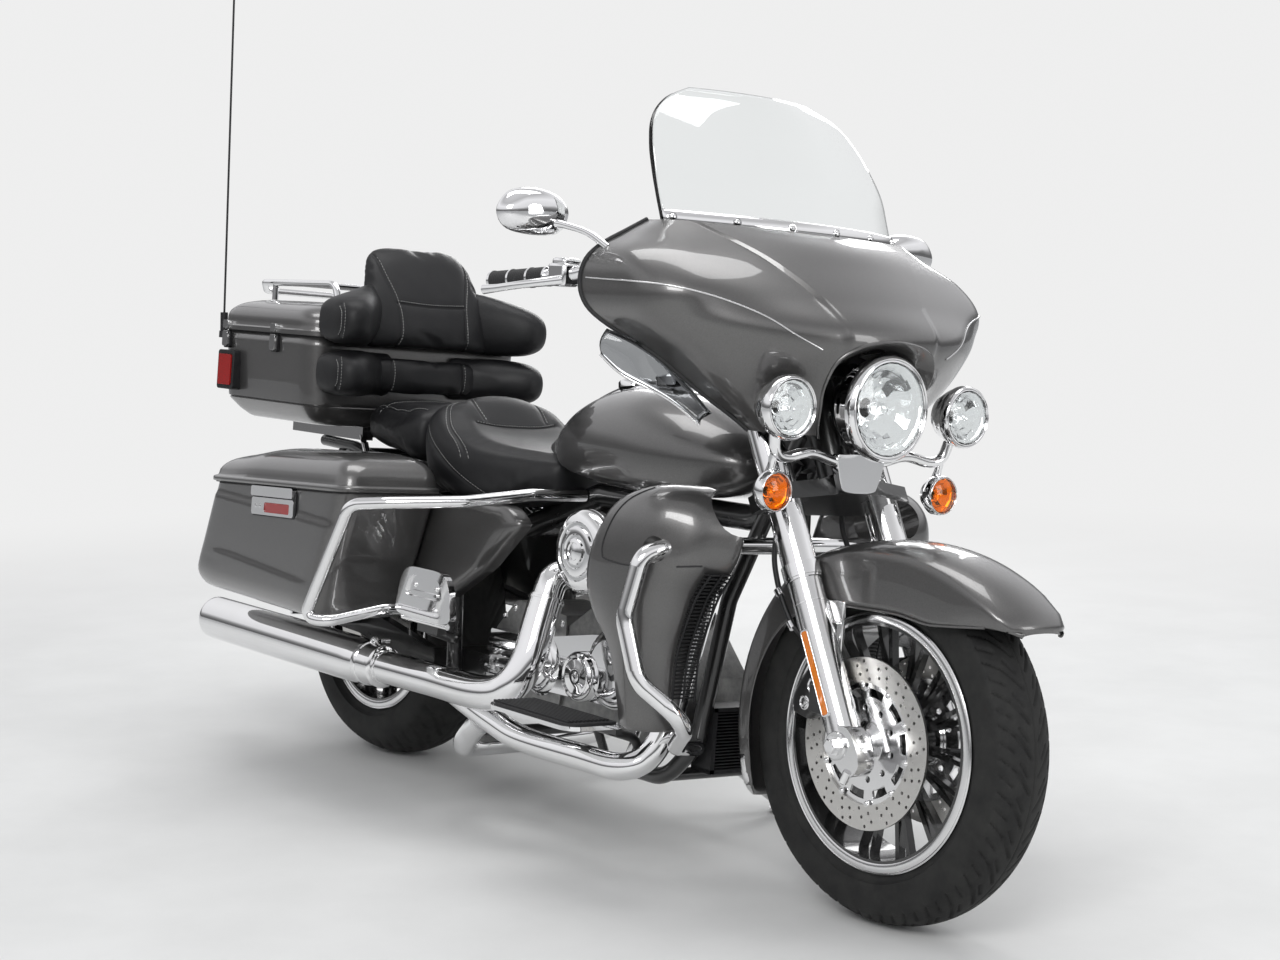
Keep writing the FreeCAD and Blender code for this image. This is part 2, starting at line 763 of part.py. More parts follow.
muffler = turned("MufflerRight", [
    (0, 40),
    (0, s.muffler_radius - 3),
    (12, s.muffler_radius),
    (640, s.muffler_radius),
    (715, s.header_radius + 9),
    (750, s.header_radius + 5),
    (750, 20),
    (40, 20),
    (30, 40),
], (-385, -s.pipe_side, s.pipe_height), Vector(1, 0, 0))
rear_header = tube("RearHeader", [
    (350, -s.pipe_side, s.pipe_height), (740, -s.pipe_side, 268), (824, -240, 330),
    (818, -200, 450), (816, -176, 512), (824, -70, 520),
], s.header_radius, 90)
front_header = tube("FrontHeader", [
    (1105, -60, 560), (1166, -90, 500), (1158, -150, 260), (1110, -212, 186),
    (800, -225, 186), (620, -276, 258),
], s.header_radius - 7, 70)
node("exhaust_right", cut("ExhaustRightFitted", fused_in_turn("ExhaustRight", [muffler, rear_header, front_header]),
                          [cylinder_pair]))
left_pipe = fused("ExhaustLeft", [
    mirrored("MufflerLeft", muffler),
    tube("CrossPipe", [
        (350, s.pipe_side, s.pipe_height), (440, s.pipe_side, 250), (520, 200, 130),
        (545, -185, 123), (625, -232, 150), (690, -246, 200),
    ], s.header_radius - 9, 70),
])
node("exhaust_left", cut("ExhaustLeftSeated", left_pipe, [front_header]))

# Tank, console, seat and side covers

def body_section(x, half, low, high, shoulder, belly):
    """An upright section across the machine with a round back and a narrower foot."""
    corners = [
        point(x, -half * belly, low), point(x, half * belly, low),
        point(x, half, low + (high - low) * 0.42), point(x, half * shoulder, high),
        point(x, -half * shoulder, high), point(x, -half, low + (high - low) * 0.42),
    ]
    small = min(half * belly, (high - low) * 0.4) * 0.4
    return ring_section(corners, [small * 0.5, small * 0.5, small, small, small, small])


# x, half width, low z, high z, shoulder share, belly share
TANK = (
    (596, 42, 728, 776, 0.55, 0.8),
    (700, 98, 706, 850, 0.5, 0.85),
    (850, 142, 696, 894, 0.5, 0.86),
    (1010, 156, 694, 896, 0.5, 0.86),
    (1130, 140, 700, 868, 0.5, 0.86),
    (1236, 92, 732, 806, 0.6, 0.8),
)
tank = shaped("TankShell", Part.makeLoft([body_section(*row) for row in TANK], True, False))
node("fuel_tank", tank)
console = padded("Console", "side", [
    (640, 832), (800, 880), (860, 888), (990, 891), (1040, 880), (1050, 910), (990, 923),
    (860, 918), (800, 908), (640, 862),
], -38, 38)
node("tank_console", cut("ConsoleSeated", console, [tank]))

seat_side = padded("SeatSide", "side", [
    (-12, 716), (-12, 800), (100, 812), (200, 818), (262, 842), (322, 846), (372, 806),
    (450, 752), (540, 745), (592, 752), (592, 735), (650, 690), (640, 674), (560, 646),
    (440, 640), (320, 650), (240, 672),
], -210, 210)
seat_plan = padded("SeatPlan", "plan", [
    (-14, -150), (200, -165), (330, -186), (450, -184), (560, -110), (652, -70), (652, 70),
    (560, 110), (450, 184), (330, 186), (200, 165), (-14, 150),
], 600, 900)
seat_solid = common("SeatBlank", seat_side, seat_plan)
# The seat's foot is narrower, which leaves room for the saddlebag lids to open
lid_room = block("LidRoomRight", (-30, 440), (-230, -166), (600, 745))
node("seat", cut("Seat", seat_solid, [tank, *both_sides("LidRoomSide", lid_room)]))
side_cover = padded("SideCoverRight", "side", [
    (262, 412), (429, 412), (570, 494), (690, 600), (640, 632), (368, 636), (268, 560),
], -187, -169, [((0, 1), 20)])
side_cover_seated = cut("SideCoverSeated", fused("SideCoverParts", [
    side_cover, rod("SideCoverBoss", (424, -172, 455), (424, -150, 455), 9)]), [frame_parts])
node("side_covers", grouped("SideCovers", both_sides("SideCover", side_cover_seated)))

# Rear suspension, belt and fender

swingarm_side = padded("SwingarmRight", "side", [
    (-52, 292), (-52, 348), (60, 350), (340, 300), (372, 300), (372, 240), (336, 240), (60, 288),
], -158, -133, [((0, 1), 20)])
caliper_slot = rod("RearDiscSlot", (0, -83, s.tyre_radius), (0, -72, s.tyre_radius), s.disc_radius + 5)
rear_caliper = cut("RearCaliper", fused("RearCaliperParts", [
    block("RearCaliperBody", (50, 110), (-108, -56), (398, 455)),
    block("RearCaliperArm", (60, 100), (-136, -100), (335, 440)),
]), [caliper_slot])
swingarm = fused("Swingarm", [
    *both_sides("SwingarmArm", swingarm_side),
    block("SwingarmCross", (338, 372), (-158, 158), (246, 297)),
    block("SwingarmPivot", (370, 489.7), (-82, 82), (238, 297)),
    rod("RearAxle", (0, -172, s.tyre_radius), (0, 172, s.tyre_radius), s.axle_radius - 0.3),
    rear_caliper,
])
node("swingarm", swingarm)
shock = fused("ShockRight", [
    rod("ShockBody", (60, -174, 330), (140, -174, 618), 14),
    rod("ShockLow", (54, -158.3, 322), (54, -187, 322), 14),
    rod("ShockHigh", (144, -136, 630), (144, -187, 630), 14),
])
node("rear_shocks", cut("RearShocks", grouped("ShockPair", both_sides("Shock", shock)), [frame_parts]))


def belt_outline(front, rear, y_low, y_high):
    """A loop round two pulleys, from their radii."""
    rear_centre = point(0, 0, s.tyre_radius)
    front_centre = point(490, 0, 312)
    run = front_centre - rear_centre
    tilt = math.atan2(run.z, run.x)
    spread = math.acos((rear - front) / run.Length)

    def rim(centre, radius, angle):
        return centre + point(radius * math.cos(angle), y_low, radius * math.sin(angle))

    up, down = tilt + spread, tilt - spread
    wire = Part.Wire([
        Part.LineSegment(rim(rear_centre, rear, up), rim(front_centre, front, up)).toShape(),
        Part.Arc(rim(front_centre, front, up), rim(front_centre, front, tilt),
                 rim(front_centre, front, down)).toShape(),
        Part.LineSegment(rim(front_centre, front, down), rim(rear_centre, rear, down)).toShape(),
        Part.Arc(rim(rear_centre, rear, down), rim(rear_centre, rear, tilt + math.pi),
                 rim(rear_centre, rear, up)).toShape(),
    ])
    return Part.Face(wire).extrude(point(0, y_high - y_low, 0))


belt_in = (float(s.front_pulley_radius) + 0.3, float(s.pulley_radius) + 0.3)
belt_faces = (float(belt_low), float(belt_high))
belt_ring = belt_outline(belt_in[0] + 5, belt_in[1] + 5, *belt_faces).cut(
    belt_outline(*belt_in, *belt_faces))
front_pulley = rod("FrontPulley", (490, 84.3, 312), (490, belt_high, 312), s.front_pulley_radius)
node("drive_belt", grouped("DriveBelt", [shaped("BeltRing", belt_ring), front_pulley]))


def channel(centre_x, radius, half, depth, wall, start, end, crown):
    """A fender: a crowned channel turned about a wheel's axle between two angles."""
    def section(inset, drop):
        edge = half - inset
        top = radius - inset
        shoulder = top - crown
        return [
            Part.LineSegment(Vector(drop, -edge, 0), Vector(shoulder, -edge, 0)).toShape(),
            Part.Arc(Vector(shoulder, -edge, 0), Vector(top, 0, 0), Vector(shoulder, edge, 0)).toShape(),
            Part.LineSegment(Vector(shoulder, edge, 0), Vector(drop, edge, 0)).toShape(),
            Part.LineSegment(Vector(drop, edge, 0), Vector(drop, -edge, 0)).toShape(),
        ]
    turned_shapes = []
    for inset, drop in ((0, radius - depth), (wall, radius - depth - 20)):
        face = Part.Face(Part.Wire(section(inset, drop)))
        solid = face.revolve(Vector(), Vector(0, 1, 0), -(end - start))
        solid.rotate(Vector(), Vector(0, 1, 0), -start)
        solid.translate(point(centre_x, 0, s.tyre_radius))
        turned_shapes.append(solid)
    return turned_shapes[0].cut(turned_shapes[1])


rear_fender = shaped("RearFender", channel(0, rear_fender_radius, 106, 130, 4, 58, 186, 34))
node("rear_fender", rear_fender)
fender_envelope = rod("FenderEnvelope", (0, -200, s.tyre_radius), (0, 200, s.tyre_radius),
                      rear_fender_radius + 0.3)
rear_lights = cut("RearLightsFitted", fused("RearLights", [
    block("TailLamp", (-398, -320), (-62, 62), (425, 505)),
    rod("SignalBar", (-366, -150, 400), (-366, 150, 400), 9),
    block("PlateHolder", (-374, -366), (-90, 90), (268, 398)),
    rod("RearSignalRight", (-400, -150, 400), (-335, -150, 400), 30),
    rod("RearSignalLeft", (-400, 150, 400), (-335, 150, 400), 30),
    block("LampStem", (-385, -330), (-30, 30), (396, 430)),
]), [fender_envelope])

# Saddlebags, guards and boards

def lid_hinge(x, pin_y, pin_z, wall_y, foot_z):
    """One hinge on a line along X: the box's ear and pin, the lid's barrels, their bore and the ear's room."""
    x, pin_y, pin_z, wall_y, foot_z = [float(value) for value in (x, pin_y, pin_z, wall_y, foot_z)]
    pin, barrel, gap = float(s.hinge_pin), float(s.hinge_barrel), float(s.moving_gap)
    ear_half, half = float(s.hinge_ear) / 2, float(s.hinge_length) / 2
    outer_y = pin_y + math.copysign(barrel, pin_y - wall_y)
    low_y, high_y = sorted((wall_y, outer_y))
    ear = Part.makeBox(2 * ear_half, high_y - low_y, pin_z + barrel - foot_z, point(x - ear_half, low_y, foot_z))
    ear = ear.fuse(Part.makeCylinder(pin, 2 * half, point(x - half, pin_y, pin_z), ABOUT_X))
    barrels = [
        Part.makeCylinder(barrel, half - ear_half - 1, point(start, pin_y, pin_z), ABOUT_X)
        for start in (x - half, x + ear_half + 1)
    ]
    bore = Part.makeCylinder(pin + float(s.pin_gap), 2 * half + 2, point(x - half - 1, pin_y, pin_z), ABOUT_X)
    swing = math.hypot(max(abs(wall_y - pin_y), barrel), barrel) + gap
    room = Part.makeCylinder(swing, 2 * (ear_half + gap), point(x - ear_half - gap, pin_y, pin_z), ABOUT_X)
    room = room.fuse(Part.makeBox(2 * (ear_half + gap), high_y - low_y + 2 * gap, pin_z - foot_z,
                                  point(x - ear_half - gap, low_y - gap, foot_z)))
    return ear, barrels, bore, room


# z, rear x, front x, rear outer y, front outer y, inner y, corner radius
BAG = (
    (356, -282, 285, -368, -398, -206, 30),
    (388, -310, 314, -388, -425, -190, 42),
    (660, -200, 432, -396, -436, -190, 42),
)
SEAM_REAR = point(-222, 0, 601)
SEAM_FRONT = point(418, 0, 634)
seam_tilt = math.degrees(math.atan2(SEAM_FRONT.z - SEAM_REAR.z, SEAM_FRONT.x - SEAM_REAR.x))


def bag_wire(row, inset):
    z, rear, front, rear_outer, front_outer, inner, radius = row
    corners = [
        point(rear + inset, rear_outer + inset, z), point(front - inset, front_outer + inset, z),
        point(front - inset, inner - inset, z), point(rear + inset, inner - inset, z),
    ]
    return ring_section(corners, [radius - inset] * 4)


def lifted(row, rise):
    return (row[0] + rise,) + row[1:]


wall = float(s.bag_wall)
above_seam = Part.makeBox(1000, 600, 300)
above_seam.rotate(Vector(), ABOUT_Y, -seam_tilt)
above_seam.translate(SEAM_REAR - point(150, 550, 150 * math.tan(math.radians(seam_tilt))))
bag_outer = Part.makeLoft([bag_wire(row, 0) for row in BAG], True, True)
bag_inner = Part.makeLoft([bag_wire(lifted(BAG[0], wall), wall)]
                          + [bag_wire(row, wall) for row in BAG[1:]], True, True)
bag_hinges = [lid_hinge(x, -float(s.bag_hinge_side), float(s.bag_hinge_rise), -190, -12) for x in (170, 470)]
for ear, barrels, bore, room in bag_hinges:
    for piece in (ear, *barrels, bore, room):
        piece.rotate(Vector(), ABOUT_Y, -seam_tilt)
        piece.translate(SEAM_REAR)
bag_shell = bag_outer.cut(bag_inner).cut(above_seam)
for ear, barrels, bore, room in bag_hinges:
    bag_shell = bag_shell.fuse(ear)
bag = shaped("SaddlebagRight", bag_shell)
node("saddlebag_right", grouped("SaddlebagRightPart", [bag]))
node("saddlebag_left", mirrored("SaddlebagLeft", bag))
# the lid is lofted level from the seam's rear end, then tilted with the seam
LID = (
    (1, -12, 652, -402, -444, -196, 46),
    (16, -12, 652, -402, -444, -196, 46),
    (52, 0, 640, -392, -434, -202, 46),
    (80, 48, 590, -350, -392, -222, 46),
)
lid_outer = Part.makeLoft([bag_wire(row, 0) for row in LID], True, True)
lid_inner = Part.makeLoft([bag_wire(lifted(LID[0], -3), wall), bag_wire(LID[1], wall),
                           bag_wire(LID[2], wall), bag_wire(lifted(LID[3], -wall), wall + 1)], True, True)
lid_shell = lid_outer.cut(lid_inner)
lid_shell.rotate(Vector(), ABOUT_Y, -seam_tilt)
lid_shell.translate(SEAM_REAR)
for ear, barrels, bore, room in bag_hinges:
    lid_shell = lid_shell.cut(room).multiFuse(barrels).cut(bore)
bag_lid = shaped("SaddlebagLidRight", lid_shell)
node("saddlebag_lid_right", grouped("SaddlebagLidRightPart", [bag_lid]))
node("saddlebag_lid_left", mirrored("SaddlebagLidLeft", bag_lid))
bag_guard = tube("BagGuardRight", [
    (690, -26, 662), (676, -150, 660), (640, -290, 640), (560, -420, 628), (492, -466, 618),
    (352, -470, 372), (398, -452, 366), (430, -330, 396), (432, -160, 392),
], s.bag_guard_tube, 45)
node("bag_guards", cut("BagGuards", grouped("BagGuardPair", both_sides("BagGuard", bag_guard)),
                       [frame_parts]))
passenger_board = fused("PassengerBoardRight", [
    block("PassengerPlate", (455, 650), (-314, -300), (387, 494)),
    rod("PassengerHinge", (470, -306, 385), (635, -306, 385), 6),
])
node("passenger_board_right", passenger_board)
node("passenger_board_left", mirrored("PassengerBoardLeft", passenger_board))
rider_board = padded("RiderBoardRight", "plan", [
    (900, -268), (1180, -268), (1180, -380), (1160, -396), (930, -396), (900, -370),
], 276, 292)
rider_board_solid = fused("RiderBoardParts", [
    rider_board, rod("RiderHinge", (935, -269, 279), (1145, -269, 279), 6)])
node("rider_board_right", rider_board_solid)
node("rider_board_left", mirrored("RiderBoardLeft", rider_board_solid))
pedal = fused("BrakePedal", [
    tube("PedalArm", [(1030, -138, 178), (1084, -152, 262), (1150, -232, 345)], 7, 30),
    block("PedalPad", (1128, 1172), (-262, -218), (344, 356)),
])
shifter = fused("ShiftLever", [
    tube("ShiftArm", [(1030, 138, 178), (1084, 152, 262), (1150, 222, 340)], 7, 30),
    rod("ShiftPeg", (1150, 212, 340), (1150, 262, 340), 11),
])
node("foot_controls", cut("FootControls", grouped("FootControlPair", [pedal, shifter]), [frame_parts]))

# Side stand

stand_eye = cut("StandEye", rod("StandBoss", STAND_PIVOT - stand_axis * 13, STAND_PIVOT + stand_axis * 13, 18),
                [rod("StandBore", STAND_PIVOT - stand_axis * 20, STAND_PIVOT + stand_axis * 20, 8.3)])
leg_start = STAND_PIVOT + stand_down * 14
leg_end = stand_foot + FLOOR_UP * 10
side_stand = fused("SideStandParts", [
    stand_eye, rod("StandLeg", leg_start, leg_end, 11),
    rod("StandFoot", stand_foot, stand_foot + FLOOR_UP * 9, 30),
])
node("side_stand", side_stand)

# Top case, rack and backrest

# z, rear x, front x, half width, corner radius
CASE = (
    (s.case_bottom, -398, -44, 232, 40),
    (785, -436, s.case_front, 276, 52),
    (s.case_seam, s.case_rear, s.case_front, s.case_half, 56),
)
CASE_LID = (
    (s.case_seam + s.seam_gap, s.case_rear - 6, s.case_front + 4, s.case_half + 5, 58),
    (985, s.case_rear, s.case_front, s.case_half, 60),
    (1012, -428, -42, 262, 60),
    (s.case_top, -385, -85, 218, 60),
)


def case_wire(row, inset, rise=0):
    z, rear, front, half, radius = [float(value) for value in row]
    corners = [
        point(rear + inset, -half + inset, z + rise), point(front - inset, -half + inset, z + rise),
        point(front - inset, half - inset, z + rise), point(rear + inset, half - inset, z + rise),
    ]
    return ring_section(corners, [radius - inset] * 4)


def hollow_case(rows, wall, floor_rise, roof_drop):
    outer = Part.makeLoft([case_wire(row, 0) for row in rows], True, True)
    inner_wires = [case_wire(row, wall) for row in rows[1:-1]]
    inner = Part.makeLoft([case_wire(rows[0], wall, floor_rise)] + inner_wires
                          + [case_wire(rows[-1], wall, roof_drop)], True, True)
    return outer.cut(inner)


case_wall = float(s.case_wall)
case_hinges = [lid_hinge(x, s.case_half + 8, s.case_seam + s.seam_gap / 2, s.case_half - 1, s.case_seam - 24)
               for x in (-360, -100)]
case_shell = hollow_case(CASE, case_wall, case_wall, 3)
lid_case = hollow_case(CASE_LID, case_wall, -3, -case_wall)
for ear, barrels, bore, room in case_hinges:
    case_shell = case_shell.fuse(ear)
    lid_case = lid_case.cut(room).multiFuse(barrels).cut(bore)
case_body = shaped("CaseBody", case_shell)
node("case_body", grouped("CaseBodyPart", [case_body]))
case_lamp = cut("CaseLampRight", block("CaseLamp", (-420, -352), (-304, -278.5), (812, 892)), [case_body])
node("rear_lamps", grouped("RearLamps", [rear_lights, *both_sides("CaseLampSide", case_lamp)]))
case_lid = shaped("CaseLid", lid_case)
node("case_lid", grouped("CaseLidPart", [case_lid]))
rack_loop = tube("RackLoop", [
    (-84, -180, 1016), (-108, -180, 1068), (-420, -190, 1064), (-500, -140, 1046), (-500, 140, 1046),
    (-420, 190, 1064), (-108, 180, 1068), (-84, 180, 1016),
], 8, 30)
rack_bars = [rod("RackBar%d" % number, (x, -186, 1066), (x, 186, 1066), 5.5)
             for number, x in enumerate((-190, -290, -385))]
rack_feet = [rod("RackFoot%d" % number, (-370, y, 1000), (-370, y, 1062), 7)
             for number, y in enumerate((-188, 188))]
rack = fused("LuggageRack", [rack_loop, *rack_bars, *rack_feet])
lid_bulk = shaped("LidBulk", Part.makeLoft([case_wire(row, 0) for row in CASE_LID], True, True))
node("luggage_rack", cut("LuggageRackSeated", rack, [lid_bulk]))
support_rail = block("SupportRailRight", (-330, 10), (-140, -112), (718.3, 747.7))
case_support = fused("CaseSupport", [
    *both_sides("SupportRail", support_rail),
    block("SupportCrossRear", (-300, -270), (-140, 140), (722, 747.7)),
    block("SupportCrossFront", (-100, -70), (-140, 140), (722, 747.7)),
    *both_sides("SupportStrut", rod("SupportStrutRight", (70, -158, 640), (-30, -130, 738), 8)),
])
node("case_support", cut("CaseSupportFitted", case_support, [frame_parts, doc.getObject("Seat")]))
upper_pad = padded("BackrestUpper", "front", [
    (-330, 950), (-330, 1012), (-285, 1046), (-200, 1060), (-158, 1138), (-112, 1164),
    (112, 1164), (158, 1138), (200, 1060), (285, 1046), (330, 1012), (330, 950), (270, 925), (-270, 925),
], -8, 72)
lower_pad = padded("BackrestLower", "front", [
    (-308, 830), (-308, 900), (-280, 924.7), (280, 924.7), (308, 900), (308, 830), (285, 815), (-285, 815),
], -17.7, 66)
node("backrest_pads", grouped("BackrestPads", [upper_pad, lower_pad]))
antenna = fused("AntennaParts", [
    block("AntennaBracket", (-484, -441), (-270, -252), (925, 941)),
    rod("AntennaBase", (-476, -261, 930), (-480, -262, 985), 9),
    rod("AntennaWhip", (-478, -262, 960), (-520, -270, 1790), 2.5),
])
node("antenna", cut("Antenna", antenna, [case_body]))

# Lower fairings, engine guard and cooler

guard = tube("EngineGuardTube", [
    (1216, -122, 240), (1290, -235, 262), (1400, -300, 322), (1338, -372, 392), (1302, -384, 500),
    (1318, -368, 612), (1326, -330, 627), (1290, -200, 627), (1290, 200, 627), (1326, 330, 627),
    (1318, 368, 612), (1302, 384, 500), (1338, 372, 392), (1400, 300, 322), (1290, 235, 262), (1216, 122, 240),
], s.guard_tube, 60)
node("engine_guard", cut("EngineGuard", guard, [frame_parts]))
# z, x low, x high, y low, y high, corner radius
LOWER = (
    (292, 1216, 1300, -322, -240, 16),
    (430, 1188, 1306, -342, -226, 22),
    (520, 1126, 1340, -350, -212, 28),
    (610, 1118, 1404, -350, -200, 30),
    (690, 1160, 1392, -338, -190, 30),
    (734, 1232, 1345, -300, -205, 24),
)
lower = shaped("LowerRight", rounded_box_loft(LOWER, False))
# The turn signals swing with the fork along this ring, and the lower fairings are scooped out round it
signal_middle = point(s.signal_x - 19, s.signal_y, s.signal_z)
stem_line = point(-math.sin(RAKE), 0, math.cos(RAKE))
stem_place = point(stem_x(s.signal_z), 0, s.signal_z)
signal_along = (signal_middle - stem_place).dot(stem_line)
ring_centre = stem_place + stem_line * signal_along
signal_room = shaped("SignalRoom", Part.makeTorus(
    (signal_middle - ring_centre).Length, float(s.signal_radius) + 16, ring_centre, stem_line))
node("lower_fairings", cut("LowerFairings", grouped("LowerPair", both_sides("Lower", lower)),
                           [guard, signal_room]))
node("oil_cooler", cut("OilCoolerFitted", block("OilCooler", (1172, 1228), (-94, 94), (190, 315)), [frame_parts]))

# Steered parts: fender, fairing, windshield, lamps, bars and mirrors

front_fender = shaped("FrontFenderShell", channel(s.wheel_base, 352, 84, 112, 4, 36, 207, 28))
fender_mount = cut("FenderMountRight", block("FenderMount", (1494, 1546), (-104, -83), (478, 540)),
                   [doc.getObject("ForkSliders")])
node("front_fender", fused("FrontFender", [front_fender, *both_sides("FenderMountSide", fender_mount)]))
node("front_calipers", cut("FrontCalipers", grouped("CaliperPair", both_sides("Caliper", cut(
    "CaliperRight", fused("CaliperParts", [
        block("CaliperBody", (1466, 1525), (-108, -54), (358, 434)),
        block("CaliperLug", (1520, 1556), (-118, -90), (368, 420)),
    ]), [rod("DiscSlot", (s.wheel_base, -83, s.tyre_radius), (s.wheel_base, -72, s.tyre_radius),
            s.disc_radius + 5)]))), [doc.getObject("ForkSliders")]))
hose = tube("BrakeHoseRight", [
    (1350, -72, 716), (1346, -80, 668), (1362, -98, 612), (1396, -108, 555), (1436, -108, 502),
    (1480, -102, 474), (1492, -98, 436),
], 5, 1000)
node("brake_hoses", grouped("BrakeHoses", both_sides("BrakeHose", hose)))

# z, rear x, half width, nose x
FAIRING = (
    (842, 1352, 172, 1438),
    (900, 1308, 246, 1474),
    (965, 1252, 322, 1496),
    (1030, 1168, 390, 1498),
    (1085, 1136, 408, 1466),
    (1140, 1150, 396, 1410),
    (1180, 1204, 336, 1358),
    (1206, 1240, 262, 1326),
)


def fairing_wire(row, inset, rise=0, back=0):
    """A level section: two arcs that meet at the nose, closed straight across the rear."""
    z, rear, half, nose = row
    half = half - inset
    depth = nose - inset - rear + min(back, 0)
    radius = (half ** 2 + depth ** 2) / (2 * depth)
    centre = nose - inset - radius
    sweep = math.atan2(half, nose - inset - depth - centre)

    def rim(angle):
        return point(centre + radius * math.cos(angle), radius * math.sin(angle), z + rise)

    edges = [
        Part.Arc(rim(-sweep), rim(-sweep / 2), rim(0)).toShape(),
        Part.Arc(rim(0), rim(sweep / 2), rim(sweep)).toShape(),
    ]
    if back <= 0:
        return Part.Wire([*edges, Part.LineSegment(rim(sweep), rim(-sweep)).toShape()])
    behind = [rim(side * sweep) - point(back, 0, 0) for side in (1, -1)]
    return Part.Wire([
        *edges, Part.LineSegment(rim(sweep), behind[0]).toShape(),
        Part.LineSegment(*behind).toShape(), Part.LineSegment(behind[1], rim(-sweep)).toShape(),
    ])


def fairing_loft(inset, back):
    rises = [inset] + [0] * (len(FAIRING) - 2) + [-inset]
    return Part.makeLoft([fairing_wire(row, inset, rise, back) for row, rise in zip(FAIRING, rises)],
                         True, False)


headlight = turned("Headlight", [
    (14, 0), (14, 56), (34, 86), (84, 90), (90, s.headlight_radius), (112, s.headlight_radius),
    (118, 92), (118, s.lens_radius), (128, 0),
], (s.headlight_x - 122, 0, s.headlight_z), Vector(1, 0, 0))
node("headlight", headlight)
headlight_hole = rod("HeadlightHole", (s.headlight_x - 200, 0, s.headlight_z),
                     (s.headlight_x + 40, 0, s.headlight_z), s.headlight_radius + 0.3)
skin = shaped("FairingSkin", fairing_loft(0, 0).cut(fairing_loft(5, 30)))
bar_side = fused("BarRight", [
    tube("BarTube", [
        (1272, 10, 1012), (1272, -70, 1012), (1225, -190, 1106), (1186, -330, 1132),
        (1092, -404, 1096), (893, -432, 1078),
    ], s.bar_tube, 70),
    rod("Grip", (1042, -411, 1091.4), (893, -432, 1078), s.grip_radius),
    rod("Riser", (1286, -45, 938), (1272, -45, 1012), 13),
    block("Perch", (1052, 1104), (-424, -386), (1074, 1116)),
    tube("Lever", [(1098, -420, 1086), (1020, -468, 1070), (930, -478, 1060)], 5, 40),
])
handlebar = fused("HandlebarParts", both_sides("Bar", bar_side))
clamps_solid = doc.getObject("ClampsBored")
node("handlebar", cut("Handlebar", handlebar, [clamps_solid, cover_pair]))
neck_room = block("NeckRoom", (1150, 1425), (-74, 74), (820, 950))
node("outer_fairing", cut("OuterFairing", skin, [headlight_hole, neck_room, clamps_solid, cover_pair]))
plug = shaped("InnerPlug", fairing_loft(7, 0).cut(fairing_loft(4, -24)))
node("inner_fairing", cut("InnerFairing", plug, [
    handlebar, cover_pair, clamps_solid, headlight_hole, neck_room, skin]))
# z, edge x, half width, nose x
SCREEN = (
    (1207, 1203, 298, 1330),
    (1300, 1166, 292, 1268),
    (1400, 1112, 256, 1190),
    (1466, 1082, 150, 1122),
)


def screen_wire(row):
    z, edge, half, nose = row
    outer = Part.Arc(point(edge, -half, z), point(nose, 0, z), point(edge, half, z)).toShape()
    inner = Part.Arc(point(edge - 4, half, z), point(nose - 4, 0, z), point(edge - 4, -half, z)).toShape()
    return Part.Wire([
        outer, Part.LineSegment(point(edge, half, z), point(edge - 4, half, z)).toShape(),
        inner, Part.LineSegment(point(edge - 4, -half, z), point(edge, -half, z)).toShape(),
    ])


screen = shaped("Screen", Part.makeLoft([screen_wire(row) for row in SCREEN], True, False))
node("windshield", grouped("Windshield", [screen]))
aux = turned("AuxLampRight", [
    (0, 0), (4, 30), (30, 50), (50, 54), (56, s.aux_radius), (74, s.aux_radius), (76, 50), (80, 0),
], (s.aux_x - 72, -s.aux_y, s.aux_z), Vector(1, 0, 0))
signal = turned("SignalRight", [
    (0, 0), (3, 20), (22, 33), (30, s.signal_radius), (46, s.signal_radius), (52, 30), (58, 0),
], (s.signal_x - 48, -s.signal_y, s.signal_z), Vector(1, 0, 0))
light_bar = fused("LightBarParts", [
    *both_sides("AuxLamp", aux), *both_sides("Signal", signal),
    tube("LightTube", [(1472, -217, 854), (1464, -205, 808), (1460, -110, 800), (1460, 110, 800),
                       (1464, 205, 808), (1472, 217, 854)], 9, 40),
    *both_sides("SignalStem", rod("SignalStemRight", (1463, -206, 808), (1460, -207, 760), 8)),
    block("LightBracket", (1449, 1468), (-34, 34), (740, 806)),
])
node("light_bar", cut("LightBar", light_bar, [clamps_solid]))
mirror_head = padded("MirrorHead", "front", [
    (-545, 1200), (-520, 1236, "via"), (-470, 1246), (-420, 1236, "via"), (-395, 1208),
    (-410, 1172, "via"), (-450, 1162), (-520, 1168, "via"),
], 1050, 1092)
mirror = fused("MirrorRight", [
    mirror_head, rod("MirrorStem", (1072, -436, 1192), (1176, -384, 1148), 6)])
node("mirrors", cut("Mirrors", grouped("MirrorPair", both_sides("Mirror", mirror)), [skin]))

# Check, park and write

doc.recompute()
for item in doc.Objects:
    if "Invalid" in item.State or "Error" in item.State:
        raise RuntimeError("not built: " + item.Label)
for item in nodes:
    if item.Shape.isNull() or not item.Shape.isValid():
        raise RuntimeError("not a valid solid: " + item.Label)
# The origin is on the floor, under the middle of the leaning machine's box
LEANED = FreeCAD.Placement(Vector(0, 0, LIFT), FreeCAD.Rotation(ABOUT_X, -float(s.lean_angle)))
extent = FreeCAD.BoundBox()
for item in nodes:
    item.Placement = LEANED
    extent.add(item.Shape.optimalBoundingBox(False, False))
PARKED = FreeCAD.Placement(point(-extent.Center.x, -extent.Center.y, 0), FreeCAD.Rotation()) * LEANED
for item in nodes:
    item.Placement = PARKED
os.makedirs("parts", exist_ok=True)
for item in nodes:
    item.Shape.exportStep("parts/" + item.Label + ".step")
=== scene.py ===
"""Looks of the touring cruiser motorcycle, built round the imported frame.

Points are written in millimetres on the upright machine: X forward from the rear axle, Y to the
rider's left, Z up from the ground. PARKED leans them over on the side stand, into the frame.
"""

import json
import math

